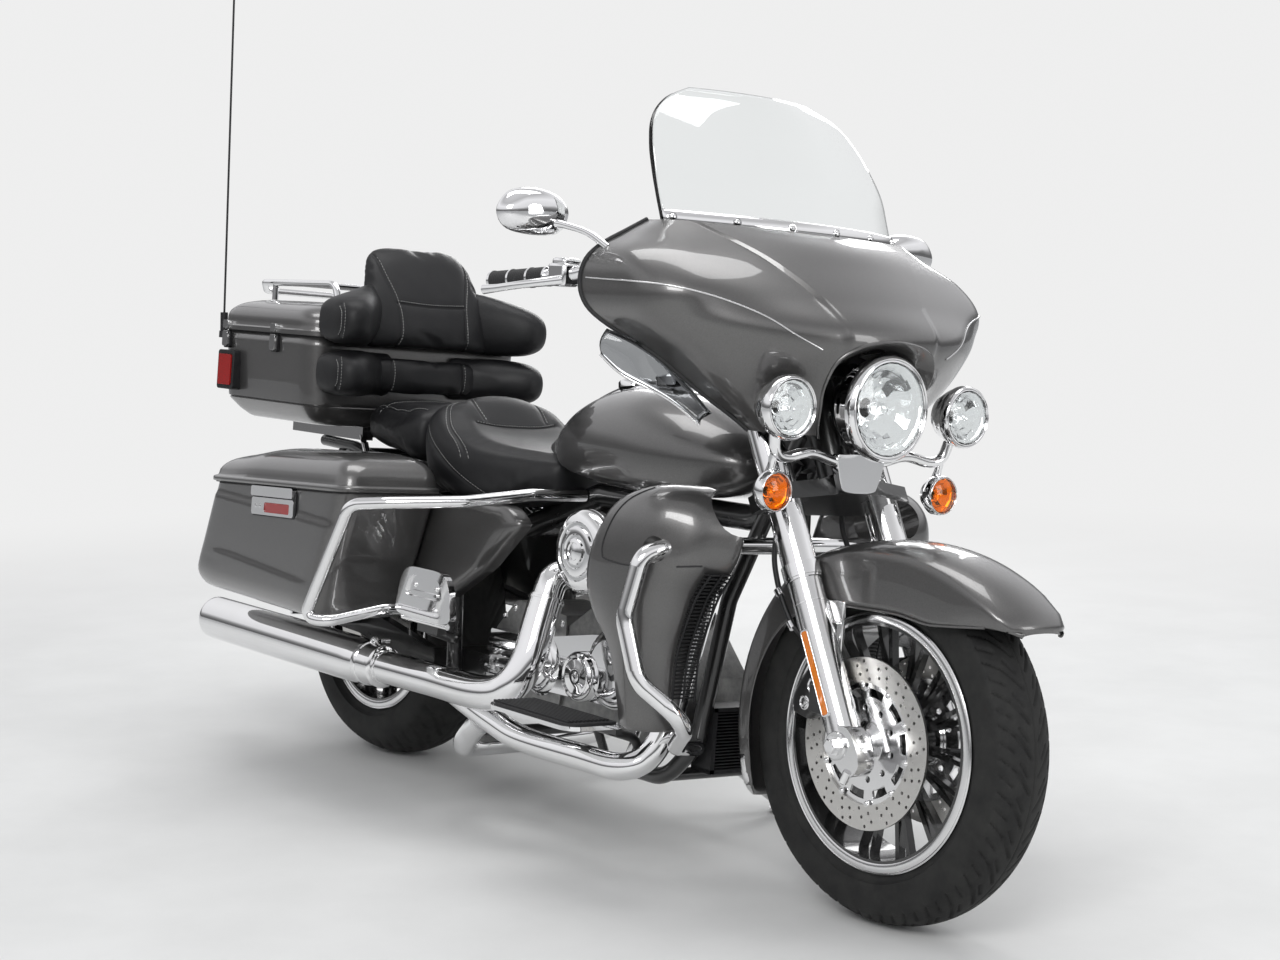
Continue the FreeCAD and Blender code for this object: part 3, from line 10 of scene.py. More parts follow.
import bmesh
import bpy
import mathutils
import mathutils.bvhtree
import numpy as np
from mathutils import Matrix, Vector


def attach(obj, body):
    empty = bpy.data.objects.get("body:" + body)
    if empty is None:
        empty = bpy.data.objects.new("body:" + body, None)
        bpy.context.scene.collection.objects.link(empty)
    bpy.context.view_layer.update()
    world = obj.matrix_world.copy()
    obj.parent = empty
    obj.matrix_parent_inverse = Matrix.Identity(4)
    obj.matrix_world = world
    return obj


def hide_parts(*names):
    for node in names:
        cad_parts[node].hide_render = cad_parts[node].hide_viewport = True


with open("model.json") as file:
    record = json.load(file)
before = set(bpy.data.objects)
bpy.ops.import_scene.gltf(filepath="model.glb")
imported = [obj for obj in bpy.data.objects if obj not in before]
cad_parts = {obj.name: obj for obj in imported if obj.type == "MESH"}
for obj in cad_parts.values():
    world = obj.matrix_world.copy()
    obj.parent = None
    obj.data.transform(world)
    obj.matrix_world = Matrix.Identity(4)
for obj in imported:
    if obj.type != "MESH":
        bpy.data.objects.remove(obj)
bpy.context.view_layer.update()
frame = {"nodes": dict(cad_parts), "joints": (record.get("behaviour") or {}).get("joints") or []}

NODES = frame["nodes"]
JOINTS = {joint["name"]: joint for joint in frame["joints"]}
# The parked pose: 6 degrees over to the left, on tyres with a rolling radius of 320 mm
LEAN = math.radians(6)
TYRE_RADIUS = 320
FRONT_AXLE = 1613
SIDES = ("right", "left")
LEANING = Matrix.Rotation(-LEAN, 4, "X")
SHIFT = Vector(JOINTS["rear_wheel_spin"]["pos_m"]) - LEANING @ Vector((0, 0, TYRE_RADIUS / 1000))
PARKED = Matrix.Translation(SHIFT) @ LEANING @ Matrix.Scale(0.001, 4)


# Materials

def shader_of(material):
    return material.node_tree.nodes["Principled BSDF"]


def new_material(name, colour, roughness, metallic=0.0, **sockets):
    material = bpy.data.materials.new(name)
    material.use_nodes = True
    shader = shader_of(material)
    shader.inputs["Base Color"].default_value = (*colour, 1)
    shader.inputs["Roughness"].default_value = roughness
    shader.inputs["Metallic"].default_value = metallic
    for socket, value in sockets.items():
        shader.inputs[socket.replace("_", " ")].default_value = value
    return material


def add_node(owner, kind, **inputs):
    """A node in the tree of a material or a world."""
    node = owner.node_tree.nodes.new(kind)
    for socket, value in inputs.items():
        node.inputs[socket.replace("_", " ")].default_value = value
    return node


def link(owner, output, target):
    owner.node_tree.links.new(output, target)


def place(material, texture):
    coordinates = add_node(material, "ShaderNodeTexCoord")
    link(material, coordinates.outputs["Object"], texture.inputs["Vector"])


def ramp(material, source, low, high, start=0.35, end=0.65):
    node = add_node(material, "ShaderNodeValToRGB")
    node.color_ramp.elements[0].position = start
    node.color_ramp.elements[1].position = end
    node.color_ramp.elements[0].color = (*low, 1)
    node.color_ramp.elements[1].color = (*high, 1)
    link(material, source, node.inputs["Fac"])
    return node.outputs["Color"]


def cloudy(material, scale, low, high, detail=4.0):
    """Colour that wanders between two tones over patches 1/scale metres wide."""
    noise = add_node(material, "ShaderNodeTexNoise", Scale=scale, Detail=detail, Roughness=0.6)
    place(material, noise)
    link(material, ramp(material, noise.outputs["Fac"], low, high), shader_of(material).inputs["Base Color"])


def worn_roughness(material, scale, low, high):
    """Roughness that wanders between two values."""
    noise = add_node(material, "ShaderNodeTexNoise", Scale=scale, Detail=5.0, Roughness=0.65)
    place(material, noise)
    span = add_node(material, "ShaderNodeMapRange", To_Min=low, To_Max=high)
    link(material, noise.outputs["Fac"], span.inputs["Value"])
    link(material, span.outputs["Result"], shader_of(material).inputs["Roughness"])


def grained(material, scale, height, strength, cells=False):
    """Fine relief: noise, or the cells of a hide, height metres deep."""
    if cells:
        texture = add_node(material, "ShaderNodeTexVoronoi", Scale=scale)
        texture.feature = "DISTANCE_TO_EDGE"
        source = texture.outputs["Distance"]
    else:
        texture = add_node(material, "ShaderNodeTexNoise", Scale=scale, Detail=6.0, Roughness=0.6)
        source = texture.outputs["Fac"]
    place(material, texture)
    relief = add_node(material, "ShaderNodeBump", Strength=strength, Distance=height)
    link(material, source, relief.inputs["Height"])
    link(material, relief.outputs["Normal"], shader_of(material).inputs["Normal"])


def paint(name, dark, bright):
    """Metallic lacquer: flakes in two tones under a clear coat."""
    material = new_material(name, bright, 0.34, 0.72, Coat_Weight=1.0, Coat_Roughness=0.03)
    cloudy(material, 1400.0, dark, bright, 2.0)
    worn_roughness(material, 6.0, 0.30, 0.38)
    return material


def black_enamel(name, tone, roughness, coat):
    material = new_material(name, (tone, tone, tone), roughness, 0.0, Coat_Weight=coat, Coat_Roughness=0.06)
    cloudy(material, 30.0, (tone * 0.8,) * 3, (tone * 1.25,) * 3)
    worn_roughness(material, 25.0, roughness * 0.85, roughness * 1.2)
    return material


def plated(name, tone, low, high):
    material = new_material(name, (tone, tone, tone), low, 1.0)
    cloudy(material, 7.0, (tone * 0.97,) * 3, (tone, tone, tone * 1.01))
    worn_roughness(material, 18.0, low, high)
    return material


PAINT = paint("charcoal_lacquer", (0.085, 0.083, 0.082), (0.150, 0.147, 0.145))
CHROME = plated("chrome_plate", 0.86, 0.03, 0.08)
POLISHED = plated("polished_alloy", 0.74, 0.10, 0.20)
grained(POLISHED, 220.0, 0.0002, 0.15)
DISC = new_material("ground_steel", (0.60, 0.59, 0.57), 0.28, 1.0, Anisotropic=0.4)
worn_roughness(DISC, 60.0, 0.22, 0.36)
BLACK_FRAME = black_enamel("frame_enamel", 0.012, 0.28, 0.6)
BLACK_WHEEL = black_enamel("wheel_enamel", 0.010, 0.22, 0.8)
BLACK_PLASTIC = new_material("moulded_plastic", (0.010, 0.010, 0.011), 0.55, 0.0, Specular_IOR_Level=0.35)
cloudy(BLACK_PLASTIC, 40.0, (0.008, 0.008, 0.009), (0.014, 0.014, 0.015))
grained(BLACK_PLASTIC, 900.0, 0.0004, 0.35)
CAST = new_material("cast_alloy", (0.30, 0.30, 0.30), 0.38, 0.9)
cloudy(CAST, 60.0, (0.25, 0.25, 0.25), (0.34, 0.34, 0.33))
grained(CAST, 500.0, 0.0004, 0.35)
ENGINE_BLACK = black_enamel("engine_enamel", 0.016, 0.42, 0.2)
grained(ENGINE_BLACK, 700.0, 0.0003, 0.3)
RUBBER = new_material("soft_rubber", (0.017, 0.017, 0.018), 0.68)
grained(RUBBER, 600.0, 0.0003, 0.4)
TYRE_RUBBER = new_material("tyre_compound", (0.013, 0.013, 0.013), 0.72, 0.0, Specular_IOR_Level=0.35)
cloudy(TYRE_RUBBER, 22.0, (0.010, 0.010, 0.010), (0.020, 0.020, 0.019))
grained(TYRE_RUBBER, 450.0, 0.0004, 0.5)
LEATHER = new_material("black_hide", (0.009, 0.009, 0.010), 0.45, 0.0, Specular_IOR_Level=0.32)
cloudy(LEATHER, 9.0, (0.007, 0.007, 0.008), (0.013, 0.013, 0.014))
worn_roughness(LEATHER, 12.0, 0.40, 0.54)
grained(LEATHER, 420.0, 0.0005, 0.35, True)
CLEAR = new_material("clear_sheet", (0.93, 0.95, 0.95), 0.01, 0.0, Transmission_Weight=1.0, IOR=1.45)
AMBER = new_material("amber_lens", (1.0, 0.28, 0.02), 0.08, 0.0, Transmission_Weight=0.35, Coat_Weight=0.6)
RED = new_material("red_lens", (0.42, 0.012, 0.010), 0.10, 0.0, Transmission_Weight=0.2, Coat_Weight=0.6)
SMOKE = new_material("smoked_sheet", (0.30, 0.31, 0.32), 0.02, 0.0, Transmission_Weight=1.0, IOR=1.45)
AMBER_GLASS = new_material("amber_glass", (1.0, 0.42, 0.06), 0.03, 0.0, Transmission_Weight=1.0, IOR=1.45)
MIRROR_FACETS = plated("lamp_mirror", 0.90, 0.03, 0.07)
BRAKE_HOSE = new_material("hose_sheath", (0.014, 0.014, 0.015), 0.45)
STITCH_THREAD = new_material("grey_thread", (0.42, 0.42, 0.41), 0.6)
cloudy(STITCH_THREAD, 300.0, (0.34, 0.34, 0.33), (0.48, 0.48, 0.47))

# What each CAD node is finished with, also where a piece of the scene stands for it
NODE_LOOKS = {
    TYRE_RUBBER: ("front_tyre", "rear_tyre"),
    BLACK_WHEEL: ("front_rim", "rear_rim"),
    DISC: ("front_discs", "rear_disc_and_pulley"),
    POLISHED: ("fork_sliders", "side_stand"),
    CHROME: ("fork_covers", "rocker_covers", "engine_covers", "pushrod_tubes", "air_cleaner",
        "exhaust_right", "exhaust_left", "tank_console", "bag_guards", "passenger_board_right",
        "passenger_board_left", "foot_controls", "case_support", "luggage_rack", "engine_guard",
        "headlight", "handlebar", "light_bar", "mirrors"),
    BLACK_FRAME: ("triple_clamps", "frame", "swingarm", "front_calipers"),
    ENGINE_BLACK: ("cylinders",),
    CAST: ("engine_block",),
    PAINT: ("fuel_tank", "side_covers", "rear_fender", "saddlebag_right", "saddlebag_left",
        "saddlebag_lid_right", "saddlebag_lid_left", "case_body", "case_lid", "lower_fairings",
        "front_fender", "outer_fairing"),
    LEATHER: ("seat", "backrest_pads"),
    BLACK_PLASTIC: ("rear_shocks", "antenna", "oil_cooler", "inner_fairing"),
    RUBBER: ("drive_belt", "rider_board_right", "rider_board_left"),
    RED: ("rear_lamps",),
    BRAKE_HOSE: ("brake_hoses",),
    CLEAR: ("windshield",),
}
for look, node_names in NODE_LOOKS.items():
    for node_name in node_names:
        for material_slot in NODES[node_name].material_slots:
            material_slot.material = look

# The record's slot for each material of the scene's own pieces
SLOTS = {
    PAINT: "charcoal_paint", CHROME: "polished_chrome", POLISHED: "polished_chrome",
    MIRROR_FACETS: "polished_chrome", RUBBER: "black_rubber", TYRE_RUBBER: "tyre_rubber",
    LEATHER: "black_leather", BLACK_PLASTIC: "black_plastic", BLACK_FRAME: "black_frame_paint",
    DISC: "disc_steel", CLEAR: "clear_screen", SMOKE: "clear_screen", AMBER: "clear_screen",
    AMBER_GLASS: "clear_screen", RED: "clear_screen", STITCH_THREAD: "black_leather",
}

# Shapes: each is (points, faces), in upright millimetres

RIGHTWARD = (0, -1, 0)


def joined(*shapes):
    points, faces = [], []
    for more_points, more_faces in shapes:
        start = len(points)
        points += list(more_points)
        faces += [tuple(corner + start for corner in face) for face in more_faces]
    return points, faces


def mirrored(shape):
    points, faces = shape
    return [(x, -y, z) for x, y, z in points], [face[::-1] for face in faces]


def both_sides(shape):
    return joined(shape, mirrored(shape))


def sided(side, shape):
    """A shape that is made on the right, put on the side that is asked for."""
    return mirrored(shape) if side == "left" else shape


def uncapped(shape):
    """A skinned shape without the faces that close its two ends."""
    return shape[0], shape[1][:-2]


def skinned(rings, around=True, ends=True):
    """Quads through rings of equal length, closed round and capped unless told otherwise."""
    count = len(rings[0])
    points = [tuple(corner) for ring in rings for corner in ring]
    faces = []
    for row in range(len(rings) - 1):
        for number in range(count if around else count - 1):
            after = (number + 1) % count
            faces.append((row * count + number, row * count + after,
                          (row + 1) * count + after, (row + 1) * count + number))
    if around and ends:
        faces.append(tuple(range(count))[::-1])
        faces.append(tuple(range((len(rings) - 1) * count, len(rings) * count)))
    return points, faces


def basis(axis):
    """Two directions square to an axis."""
    axis = Vector(axis).normalized()
    helper = Vector((0, 0, 1)) if abs(axis.z) < 0.9 else Vector((1, 0, 0))
    side = axis.cross(helper).normalized()
    return axis, side, axis.cross(side)


def turned(profile, centre, axis, steps=64):
    """A profile of (along, radius) turned about an axis; radius 0 closes an end."""
    axis, side, over = basis(axis)
    centre = Vector(centre)
    rings = []
    for along, radius in profile:
        middle = centre + axis * along
        rings.append([middle + (side * math.cos(2 * math.pi * step / steps)
                                + over * math.sin(2 * math.pi * step / steps)) * max(radius, 0.01)
                      for step in range(steps)])
    return skinned(rings)


def smooth_line(points, pieces=8):
    """A centripetal curve through the points, with its own ends doubled."""
    knots = [Vector(item) for item in points]
    knots = [knots[0] * 2 - knots[1]] + knots + [knots[-1] * 2 - knots[-2]]
    line = []
    for before, start, end, after in zip(knots, knots[1:], knots[2:], knots[3:]):
        for step in range(pieces):
            t = step / pieces
            line.append(0.5 * ((2 * start) + (end - before) * t
                               + (2 * before - 5 * start + 4 * end - after) * t ** 2
                               + (3 * start - before - 3 * end + after) * t ** 3))
    return line + [knots[-2]]


def smooth_open(points, pieces):
    """A smooth line of (a, b) through the points."""
    return [(item.x, item.y) for item in smooth_line([(a, b, 0) for a, b in points], pieces)]


def smooth_closed(points, pieces):
    """A closed smooth loop of (a, b) through the points."""
    count = len(points)
    line = smooth_line([(a, b, 0) for a, b in points[-2:] + points + points[:2]], pieces)
    return [(item.x, item.y) for item in line[2 * pieces:(count + 2) * pieces]]


def piped(points, radius, sides=16, pieces=8, flat=1.0):
    """A tube along a smooth line; radius may be a list, one for each given point."""
    line = smooth_line(points, pieces)
    radii = [radius] * len(line) if not isinstance(radius, (list, tuple)) else \
        list(np.interp(np.linspace(0, len(radius) - 1, len(line)), range(len(radius)), radius))
    rings = []
    side = None
    for number, middle in enumerate(line):
        along = (line[min(number + 1, len(line) - 1)] - line[max(number - 1, 0)]).normalized()
        side = basis(along)[1] if side is None else (side - along * side.dot(along)).normalized()
        over = along.cross(side)
        rings.append([middle + side * math.cos(2 * math.pi * step / sides) * radii[number]
                      + over * math.sin(2 * math.pi * step / sides) * radii[number] * flat
                      for step in range(sides)])
    return skinned(rings)


def brick(x, y, z):
    corners = [(a, b, c) for c in z for a, b in ((x[0], y[0]), (x[1], y[0]), (x[1], y[1]), (x[0], y[1]))]
    return corners, [(3, 2, 1, 0), (4, 5, 6, 7), (0, 1, 5, 4), (1, 2, 6, 5), (2, 3, 7, 6), (3, 0, 4, 7)]


def within(spots, loop):
    """Which of the (a, b) spots lie inside a closed loop."""
    start = np.array([tuple(item) for item in loop])
    end = np.roll(start, -1, axis=0)
    a, b = spots[:, :1], spots[:, 1:]
    crossed = (start[:, 1] > b) != (end[:, 1] > b)
    rise = np.where(start[:, 1] == end[:, 1], 1, end[:, 1] - start[:, 1])
    return np.sum(crossed & (a < start[:, 0] + (b - start[:, 1]) * (end[:, 0] - start[:, 0]) / rise),
                  axis=1) % 2 == 1


def plate(loops, low, high, to_space):
    """A flat sheet with holes: loops of (a, b), the first one outside, between two levels."""
    flat, edges = [], []
    for loop in loops:
        start = len(flat)
        flat += [Vector(item) for item in loop]
        edges += [(start + number, start + (number + 1) % len(loop)) for number in range(len(loop))]
    found = mathutils.geometry.delaunay_2d_cdt(flat, edges, [], 1, 1e-5)
    spots = np.array([sum((found[0][corner] for corner in face), Vector((0, 0))) / 3 for face in found[2]])
    depth = sum(within(spots, loop).astype(int) for loop in loops)
    kept = [tuple(face) for face, level in zip(found[2], depth) if level == 1]
    points = [to_space(a, b, level) for level in (low, high) for a, b in found[0]]
    count = len(found[0])
    faces = [face[::-1] for face in kept] + [tuple(corner + count for corner in face) for face in kept]
    rim = {}
    for face in kept:
        for a, b in zip(face, face[1:] + face[:1]):
            rim[(a, b)] = True
    faces += [(a, b, b + count, a + count) for a, b in rim if (b, a) not in rim]
    return points, faces


def level_plate(loops, low, high):
    return plate(loops, low, high, lambda a, b, level: (a, b, level))


def side_plate(loops, low, high):
    """A plate that stands along the machine, between two distances to the right of its middle."""
    return plate(loops, low, high, lambda a, b, level: (a, -level, b))


def front_plate(loops, low, high):
    return plate(loops, low, high, lambda a, b, level: (level, a, b))


def circle(a, b, radius, steps=24):
    return [(a + radius * math.cos(2 * math.pi * step / steps),
             b + radius * math.sin(2 * math.pi * step / steps)) for step in range(steps)]


def rounded(x, y, radius, steps=6):
    """A rectangle from x[0], y[0] to x[1], y[1] with round corners, counter-clockwise."""
    loop = []
    for cx, cy, start in ((x[1] - radius, y[0] + radius, -90), (x[1] - radius, y[1] - radius, 0),
                          (x[0] + radius, y[1] - radius, 90), (x[0] + radius, y[0] + radius, 180)):
        for step in range(steps + 1):
            angle = math.radians(start + 90 * step / steps)
            loop.append((cx + radius * math.cos(angle), cy + radius * math.sin(angle)))
    return loop


def moved(shape, by):
    points, faces = shape
    return [tuple(Vector(item) + Vector(by)) for item in points], faces


def turned_about(shape, centre, axis, degrees):
    turn = Matrix.Translation(Vector(centre)) @ Matrix.Rotation(math.radians(degrees), 4, Vector(axis)) \
        @ Matrix.Translation(-Vector(centre))
    points, faces = shape
    return [tuple(turn @ Vector(item)) for item in points], faces


def dome_bolt(at, axis, radius, height=None):
    """A domed bolt head with a flat washer under it."""
    height = height or radius * 0.8
    return turned([(-1, 0), (-1, radius * 1.25), (1, radius * 1.25), (1, radius),
                   (height * 0.5, radius * 0.95), (height * 0.85, radius * 0.6), (height, 0)], at, axis, 20)


def loose(name, shape, sharp=35):
    """A mesh object from a shape, leaned into the frame."""
    points, faces = shape
    mesh = bpy.data.meshes.new(name)
    mesh.from_pydata([PARKED @ Vector(item) for item in points], [], faces)
    build = bmesh.new()
    build.from_mesh(mesh)
    bmesh.ops.remove_doubles(build, verts=build.verts, dist=1e-5)
    bmesh.ops.dissolve_degenerate(build, edges=build.edges, dist=1e-6)
    bmesh.ops.recalc_face_normals(build, faces=build.faces)
    build.to_mesh(mesh)
    build.free()
    mesh.shade_smooth()
    mesh.set_sharp_from_angle(angle=math.radians(sharp))
    thing = bpy.data.objects.new(name, mesh)
    bpy.context.scene.collection.objects.link(thing)
    return thing


def settled(thing, sharp=35):
    """Replaces a piece's mesh by the one that its modifiers make."""
    bpy.context.view_layer.update()
    mesh = bpy.data.meshes.new_from_object(thing.evaluated_get(bpy.context.evaluated_depsgraph_get()))
    thing.modifiers.clear()
    thing.data = mesh
    mesh.shade_smooth()
    mesh.set_sharp_from_angle(angle=math.radians(sharp))
    return thing


def carved(thing, *shapes):
    """Cuts closed shapes out of a piece for good."""
    for shape in shapes:
        tool = loose("cutter", shape)
        cut = thing.modifiers.new("cut", "BOOLEAN")
        cut.object = tool
        cut.operation = "DIFFERENCE"
        cut.solver = "EXACT"
        settled(thing)
        bpy.data.objects.remove(tool)
    return thing


def spread(value, table, column):
    """A column of a table, read at a value of its first column on a smooth curve."""
    keys = [row[0] for row in table]
    values = [row[column] for row in table]
    if not keys[0] < value < keys[-1]:
        return values[0] if value <= keys[0] else values[-1]
    index = max(number for number, key in enumerate(keys) if key <= value)
    width = keys[index + 1] - keys[index]

    def slope(number):
        low, high = max(number - 1, 0), min(number + 1, len(keys) - 1)
        return (values[high] - values[low]) / (keys[high] - keys[low]) * width

    t = (value - keys[index]) / width
    gap = values[index + 1] - values[index]
    start, end = slope(index), slope(index + 1)
    return values[index] + t * start + t ** 2 * (3 * gap - 2 * start - end) + t ** 3 * (start + end - 2 * gap)


def bump(value, middle, width):
    """1 at the middle, falling smoothly to 0 a width away."""
    t = min(abs(value - middle) / width, 1)
    return 1 - t * t * (3 - 2 * t)


def piece(name, body, material, shape, sharp=35, thick=0, divide=0, bevel=0, replaces=(), offset=-1,
          slot_name=None):
    """A finished object from a shape, riding on a body; thick and bevel are in millimetres."""
    thing = loose(name, shape, sharp)
    thing.data.materials.append(material)
    if thick:
        shell = thing.modifiers.new("thickness", "SOLIDIFY")
        shell.thickness = thick / 1000
        shell.offset = offset
    if bevel:
        edges = thing.modifiers.new("edges", "BEVEL")
        edges.width = bevel / 1000
        edges.segments = 2
        edges.limit_method = "ANGLE"
        edges.angle_limit = math.radians(40)
        edges.harden_normals = False
    if divide:
        smooth = thing.modifiers.new("smooth", "SUBSURF")
        smooth.levels = divide
        smooth.render_levels = divide
    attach(thing, body)
    slot_name = slot_name or SLOTS[material]
    if replaces:
        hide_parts(*replaces)
    return thing


# Camera: matched to the photograph by its wheels, lamps and bags

CAMERA_AT = Vector((4345.0, -2677.6, 1258.3)) / 1000
YAW, PITCH, ROLL = math.radians(141.90), math.radians(-7.074), math.radians(-0.443)
forward = Vector((math.cos(PITCH) * math.cos(YAW), math.cos(PITCH) * math.sin(YAW), math.sin(PITCH)))
level_right = forward.cross(Vector((0, 0, 1))).normalized()
level_up = level_right.cross(forward)
right = level_right * math.cos(ROLL) + level_up * math.sin(ROLL)
up = level_up * math.cos(ROLL) - level_right * math.sin(ROLL)
camera_data = bpy.data.cameras.new("photo_camera")
camera_data.sensor_width = 36
camera_data.lens = 62.63
camera = bpy.data.objects.new("photo_camera", camera_data)
camera_turn = Matrix((right, up, -forward)).transposed().to_4x4()
camera.matrix_world = Matrix.Translation(CAMERA_AT + SHIFT) @ camera_turn
bpy.context.scene.collection.objects.link(camera)
bpy.context.scene.camera = camera


# Seat and backrest: closed cages, swollen by a cloth simulation, then seamed and stitched

UPRIGHT = PARKED.inverted()
# Metres
VOXEL = 0.0062


def swollen(thing, pressure, cap):
    """Blows a closed mesh up like a stuffed cover; no point moves further than cap metres."""
    mesh = thing.data
    start = np.empty(len(mesh.vertices) * 3)
    mesh.vertices.foreach_get("co", start)
    start = start.reshape(-1, 3)
    cloth = thing.modifiers.new("swell", "CLOTH")
    cloth.settings.quality = 4
    cloth.settings.use_pressure = True
    cloth.settings.uniform_pressure_force = pressure
    cloth.settings.tension_stiffness = 12
    cloth.settings.compression_stiffness = 12
    cloth.settings.bending_stiffness = 0.4
    cloth.settings.effector_weights.gravity = 0
    cloth.point_cache.frame_end = 20
    for number in range(1, 21):
        bpy.context.scene.frame_set(number)
    found = thing.evaluated_get(bpy.context.evaluated_depsgraph_get()).to_mesh()
    end = np.empty(len(found.vertices) * 3)
    found.vertices.foreach_get("co", end)
    thing.modifiers.remove(cloth)
    bpy.context.scene.frame_set(1)
    move = np.nan_to_num(end.reshape(-1, 3) - start)
    move -= move.mean(axis=0)
    length = np.linalg.norm(move, axis=1, keepdims=True)
    move *= np.minimum(1, cap / np.maximum(length, 1e-9))
    mesh.vertices.foreach_set("co", (start + move).ravel())
    mesh.update()


def relaxed(thing, rounds):
    """Evens the skin out, as stuffing does."""
    smooth = thing.modifiers.new("relax", "SMOOTH")
    smooth.factor = 0.5
    smooth.iterations = rounds
    settled(thing, 60)


def flat_distance(places, line):
    """Distance of flat places to a polyline."""
    best = np.full(len(places), 1e9)
    for a, b in zip(line, line[1:]):
        a, b = np.array(a), np.array(b)
        along = b - a
        t = np.clip((places - a) @ along / max(along @ along, 1e-9), 0, 1)
        best = np.minimum(best, np.linalg.norm(places - a - t[:, None] * along, axis=1))
    return best


# A seam's groove and the wider, shallower sag beside it: widths in mm, and the sag's share of the depth
SEAM_WIDTH = 3.4
SAG_WIDTH = 11.0
SAG_SHARE = 0.35
# How a seam's (a, b) points are read on the upright machine, and the side that it is sewn on
VIEWS = {
    "front": ((1, 2), 0, 1), "top": ((0, 1), 2, 1), "right": ((0, 2), 1, -1), "left": ((0, 2), 1, 1),
}


def seam_line(points):
    return smooth_closed(points[:-1], 6) if points[0] == points[-1] else smooth_open(points, 8)


def pad(name, cage, seams, cap=8, pressure=4.0, relax=6, divide=2, replaces=()):
    """A sewn cushion. Seams are (view, depth mm, stitches, points); stitches is 0, 1 or 2 rows."""
    thing = piece(name, "root", LEATHER, cage, 60, divide=divide, replaces=replaces)
    settled(thing, 60)
    remesh = thing.modifiers.new("weave", "REMESH")
    remesh.mode = "VOXEL"
    remesh.voxel_size = VOXEL
    settled(thing, 60)
    relaxed(thing, relax)
    swollen(thing, pressure, cap / 1000)
    relaxed(thing, 3)
    finer = thing.modifiers.new("finer", "SUBSURF")
    finer.levels = finer.render_levels = 1
    settled(thing, 60)
    mesh = thing.data
    places = np.array([UPRIGHT @ corner.co for corner in mesh.vertices])
    normals = np.array([UPRIGHT.to_3x3() @ corner.normal for corner in mesh.vertices])
    normals /= np.linalg.norm(normals, axis=1, keepdims=True)
    sunk = np.zeros(len(places))
    for view, depth, _, points in seams:
        flat, across, sign = VIEWS[view]
        line = seam_line(points)
        gap = flat_distance(places[:, flat], line)
        facing = np.clip(normals[:, across] * sign * 2.5, 0, 1)
        sunk = np.maximum(sunk, depth * np.exp(-(gap / SEAM_WIDTH) ** 2) * facing)
        sunk = np.maximum(sunk, depth * SAG_SHARE * np.exp(-(gap / SAG_WIDTH) ** 2) * facing)
    places -= normals * sunk[:, None]
    mesh.vertices.foreach_set("co", np.array([PARKED @ Vector(item) for item in places]).ravel())
    mesh.update()
    tree = mathutils.bvhtree.BVHTree.FromPolygons([tuple(item) for item in places],
                                                  [tuple(face.vertices) for face in mesh.polygons])
    dashes = [stitch for view, _, rows, points in seams if rows
              for stitch in stitched(tree, view, seam_line(points), rows)]
    if dashes:
        piece(name + "_stitches", "root", STITCH_THREAD, joined(*dashes), 80)
    return thing


STITCH_PITCH = 6.5
STITCH_LENGTH = 4.4
STITCH_HALF = 0.75
SEAM_MARGIN = 4.6


def stitched(tree, view, line, rows):
    """Thread dashes lying on the cover beside a seam, found by looking along the view."""
    flat, across, sign = VIEWS[view]
    places = np.array(line)
    reach = np.concatenate(((0,), np.cumsum(np.linalg.norm(np.diff(places, axis=0), axis=1))))
    shapes = []
    for start in np.arange(2, reach[-1] - STITCH_LENGTH, STITCH_PITCH):
        ends = [np.array([np.interp(start + step, reach, places[:, k]) for k in (0, 1)])
                for step in (0, STITCH_LENGTH)]
        along = (ends[1] - ends[0]) / np.linalg.norm(ends[1] - ends[0])
        beside = np.array((-along[1], along[0]))
        for side in ((-1, 1) if rows == 2 else (1,)):
            found = []
            for end in ends:
                spot = end + beside * side * SEAM_MARGIN
                origin = [0.0, 0.0, 0.0]
                origin[flat[0]], origin[flat[1]], origin[across] = spot[0], spot[1], sign * 2000.0
                ray = [0.0, 0.0, 0.0]
                ray[across] = -sign
                hit, normal = tree.ray_cast(Vector(origin), Vector(ray))[:2]
                if hit is not None and normal[across] * sign > 0.12:
                    found.append((hit, normal))
            if len(found) == 2 and (found[0][0] - found[1][0]).length < STITCH_LENGTH * 2:
                shapes.append(dash(*found[0], *found[1]))
    return shapes


def dash(start, start_normal, end, end_normal):
    """One thread: a low ridge of six sides between two places on the cover."""
    along = (end - start).normalized()
    rings = []
    for place_on, normal, wide in ((start, start_normal, 0.4), (start.lerp(end, 0.5), start_normal, 1.0),
                                   (end, end_normal, 0.4)):
        side = along.cross(normal).normalized() * STITCH_HALF * wide
        over = normal * STITCH_HALF * wide
        base = place_on - normal * 0.2
        rings.append([base - side, base - side * 0.5 + over, base + side * 0.5 + over, base + side])
    return skinned(rings)


def cushion_cage(rows):
    """Rings across the machine. Rows: x, half width, low z, edge z, centre z, foot share."""
    rings = []
    for x, half, low, edge, centre, foot in rows:
        right = [(0.0, low), (half * foot * 0.7, low), (half * foot, low + 6),
                 (half, low + (edge - low) * 0.45), (half * 1.0, low + (edge - low) * 0.8),
                 (half * 0.86, edge), (half * 0.55, (edge + centre) / 2), (half * 0.2, centre)]
        loop = right + [(0.0, centre)] + [(-y, z) for y, z in right[:0:-1]]
        rings.append([(x, y, z) for y, z in loop])
    return skinned(rings)


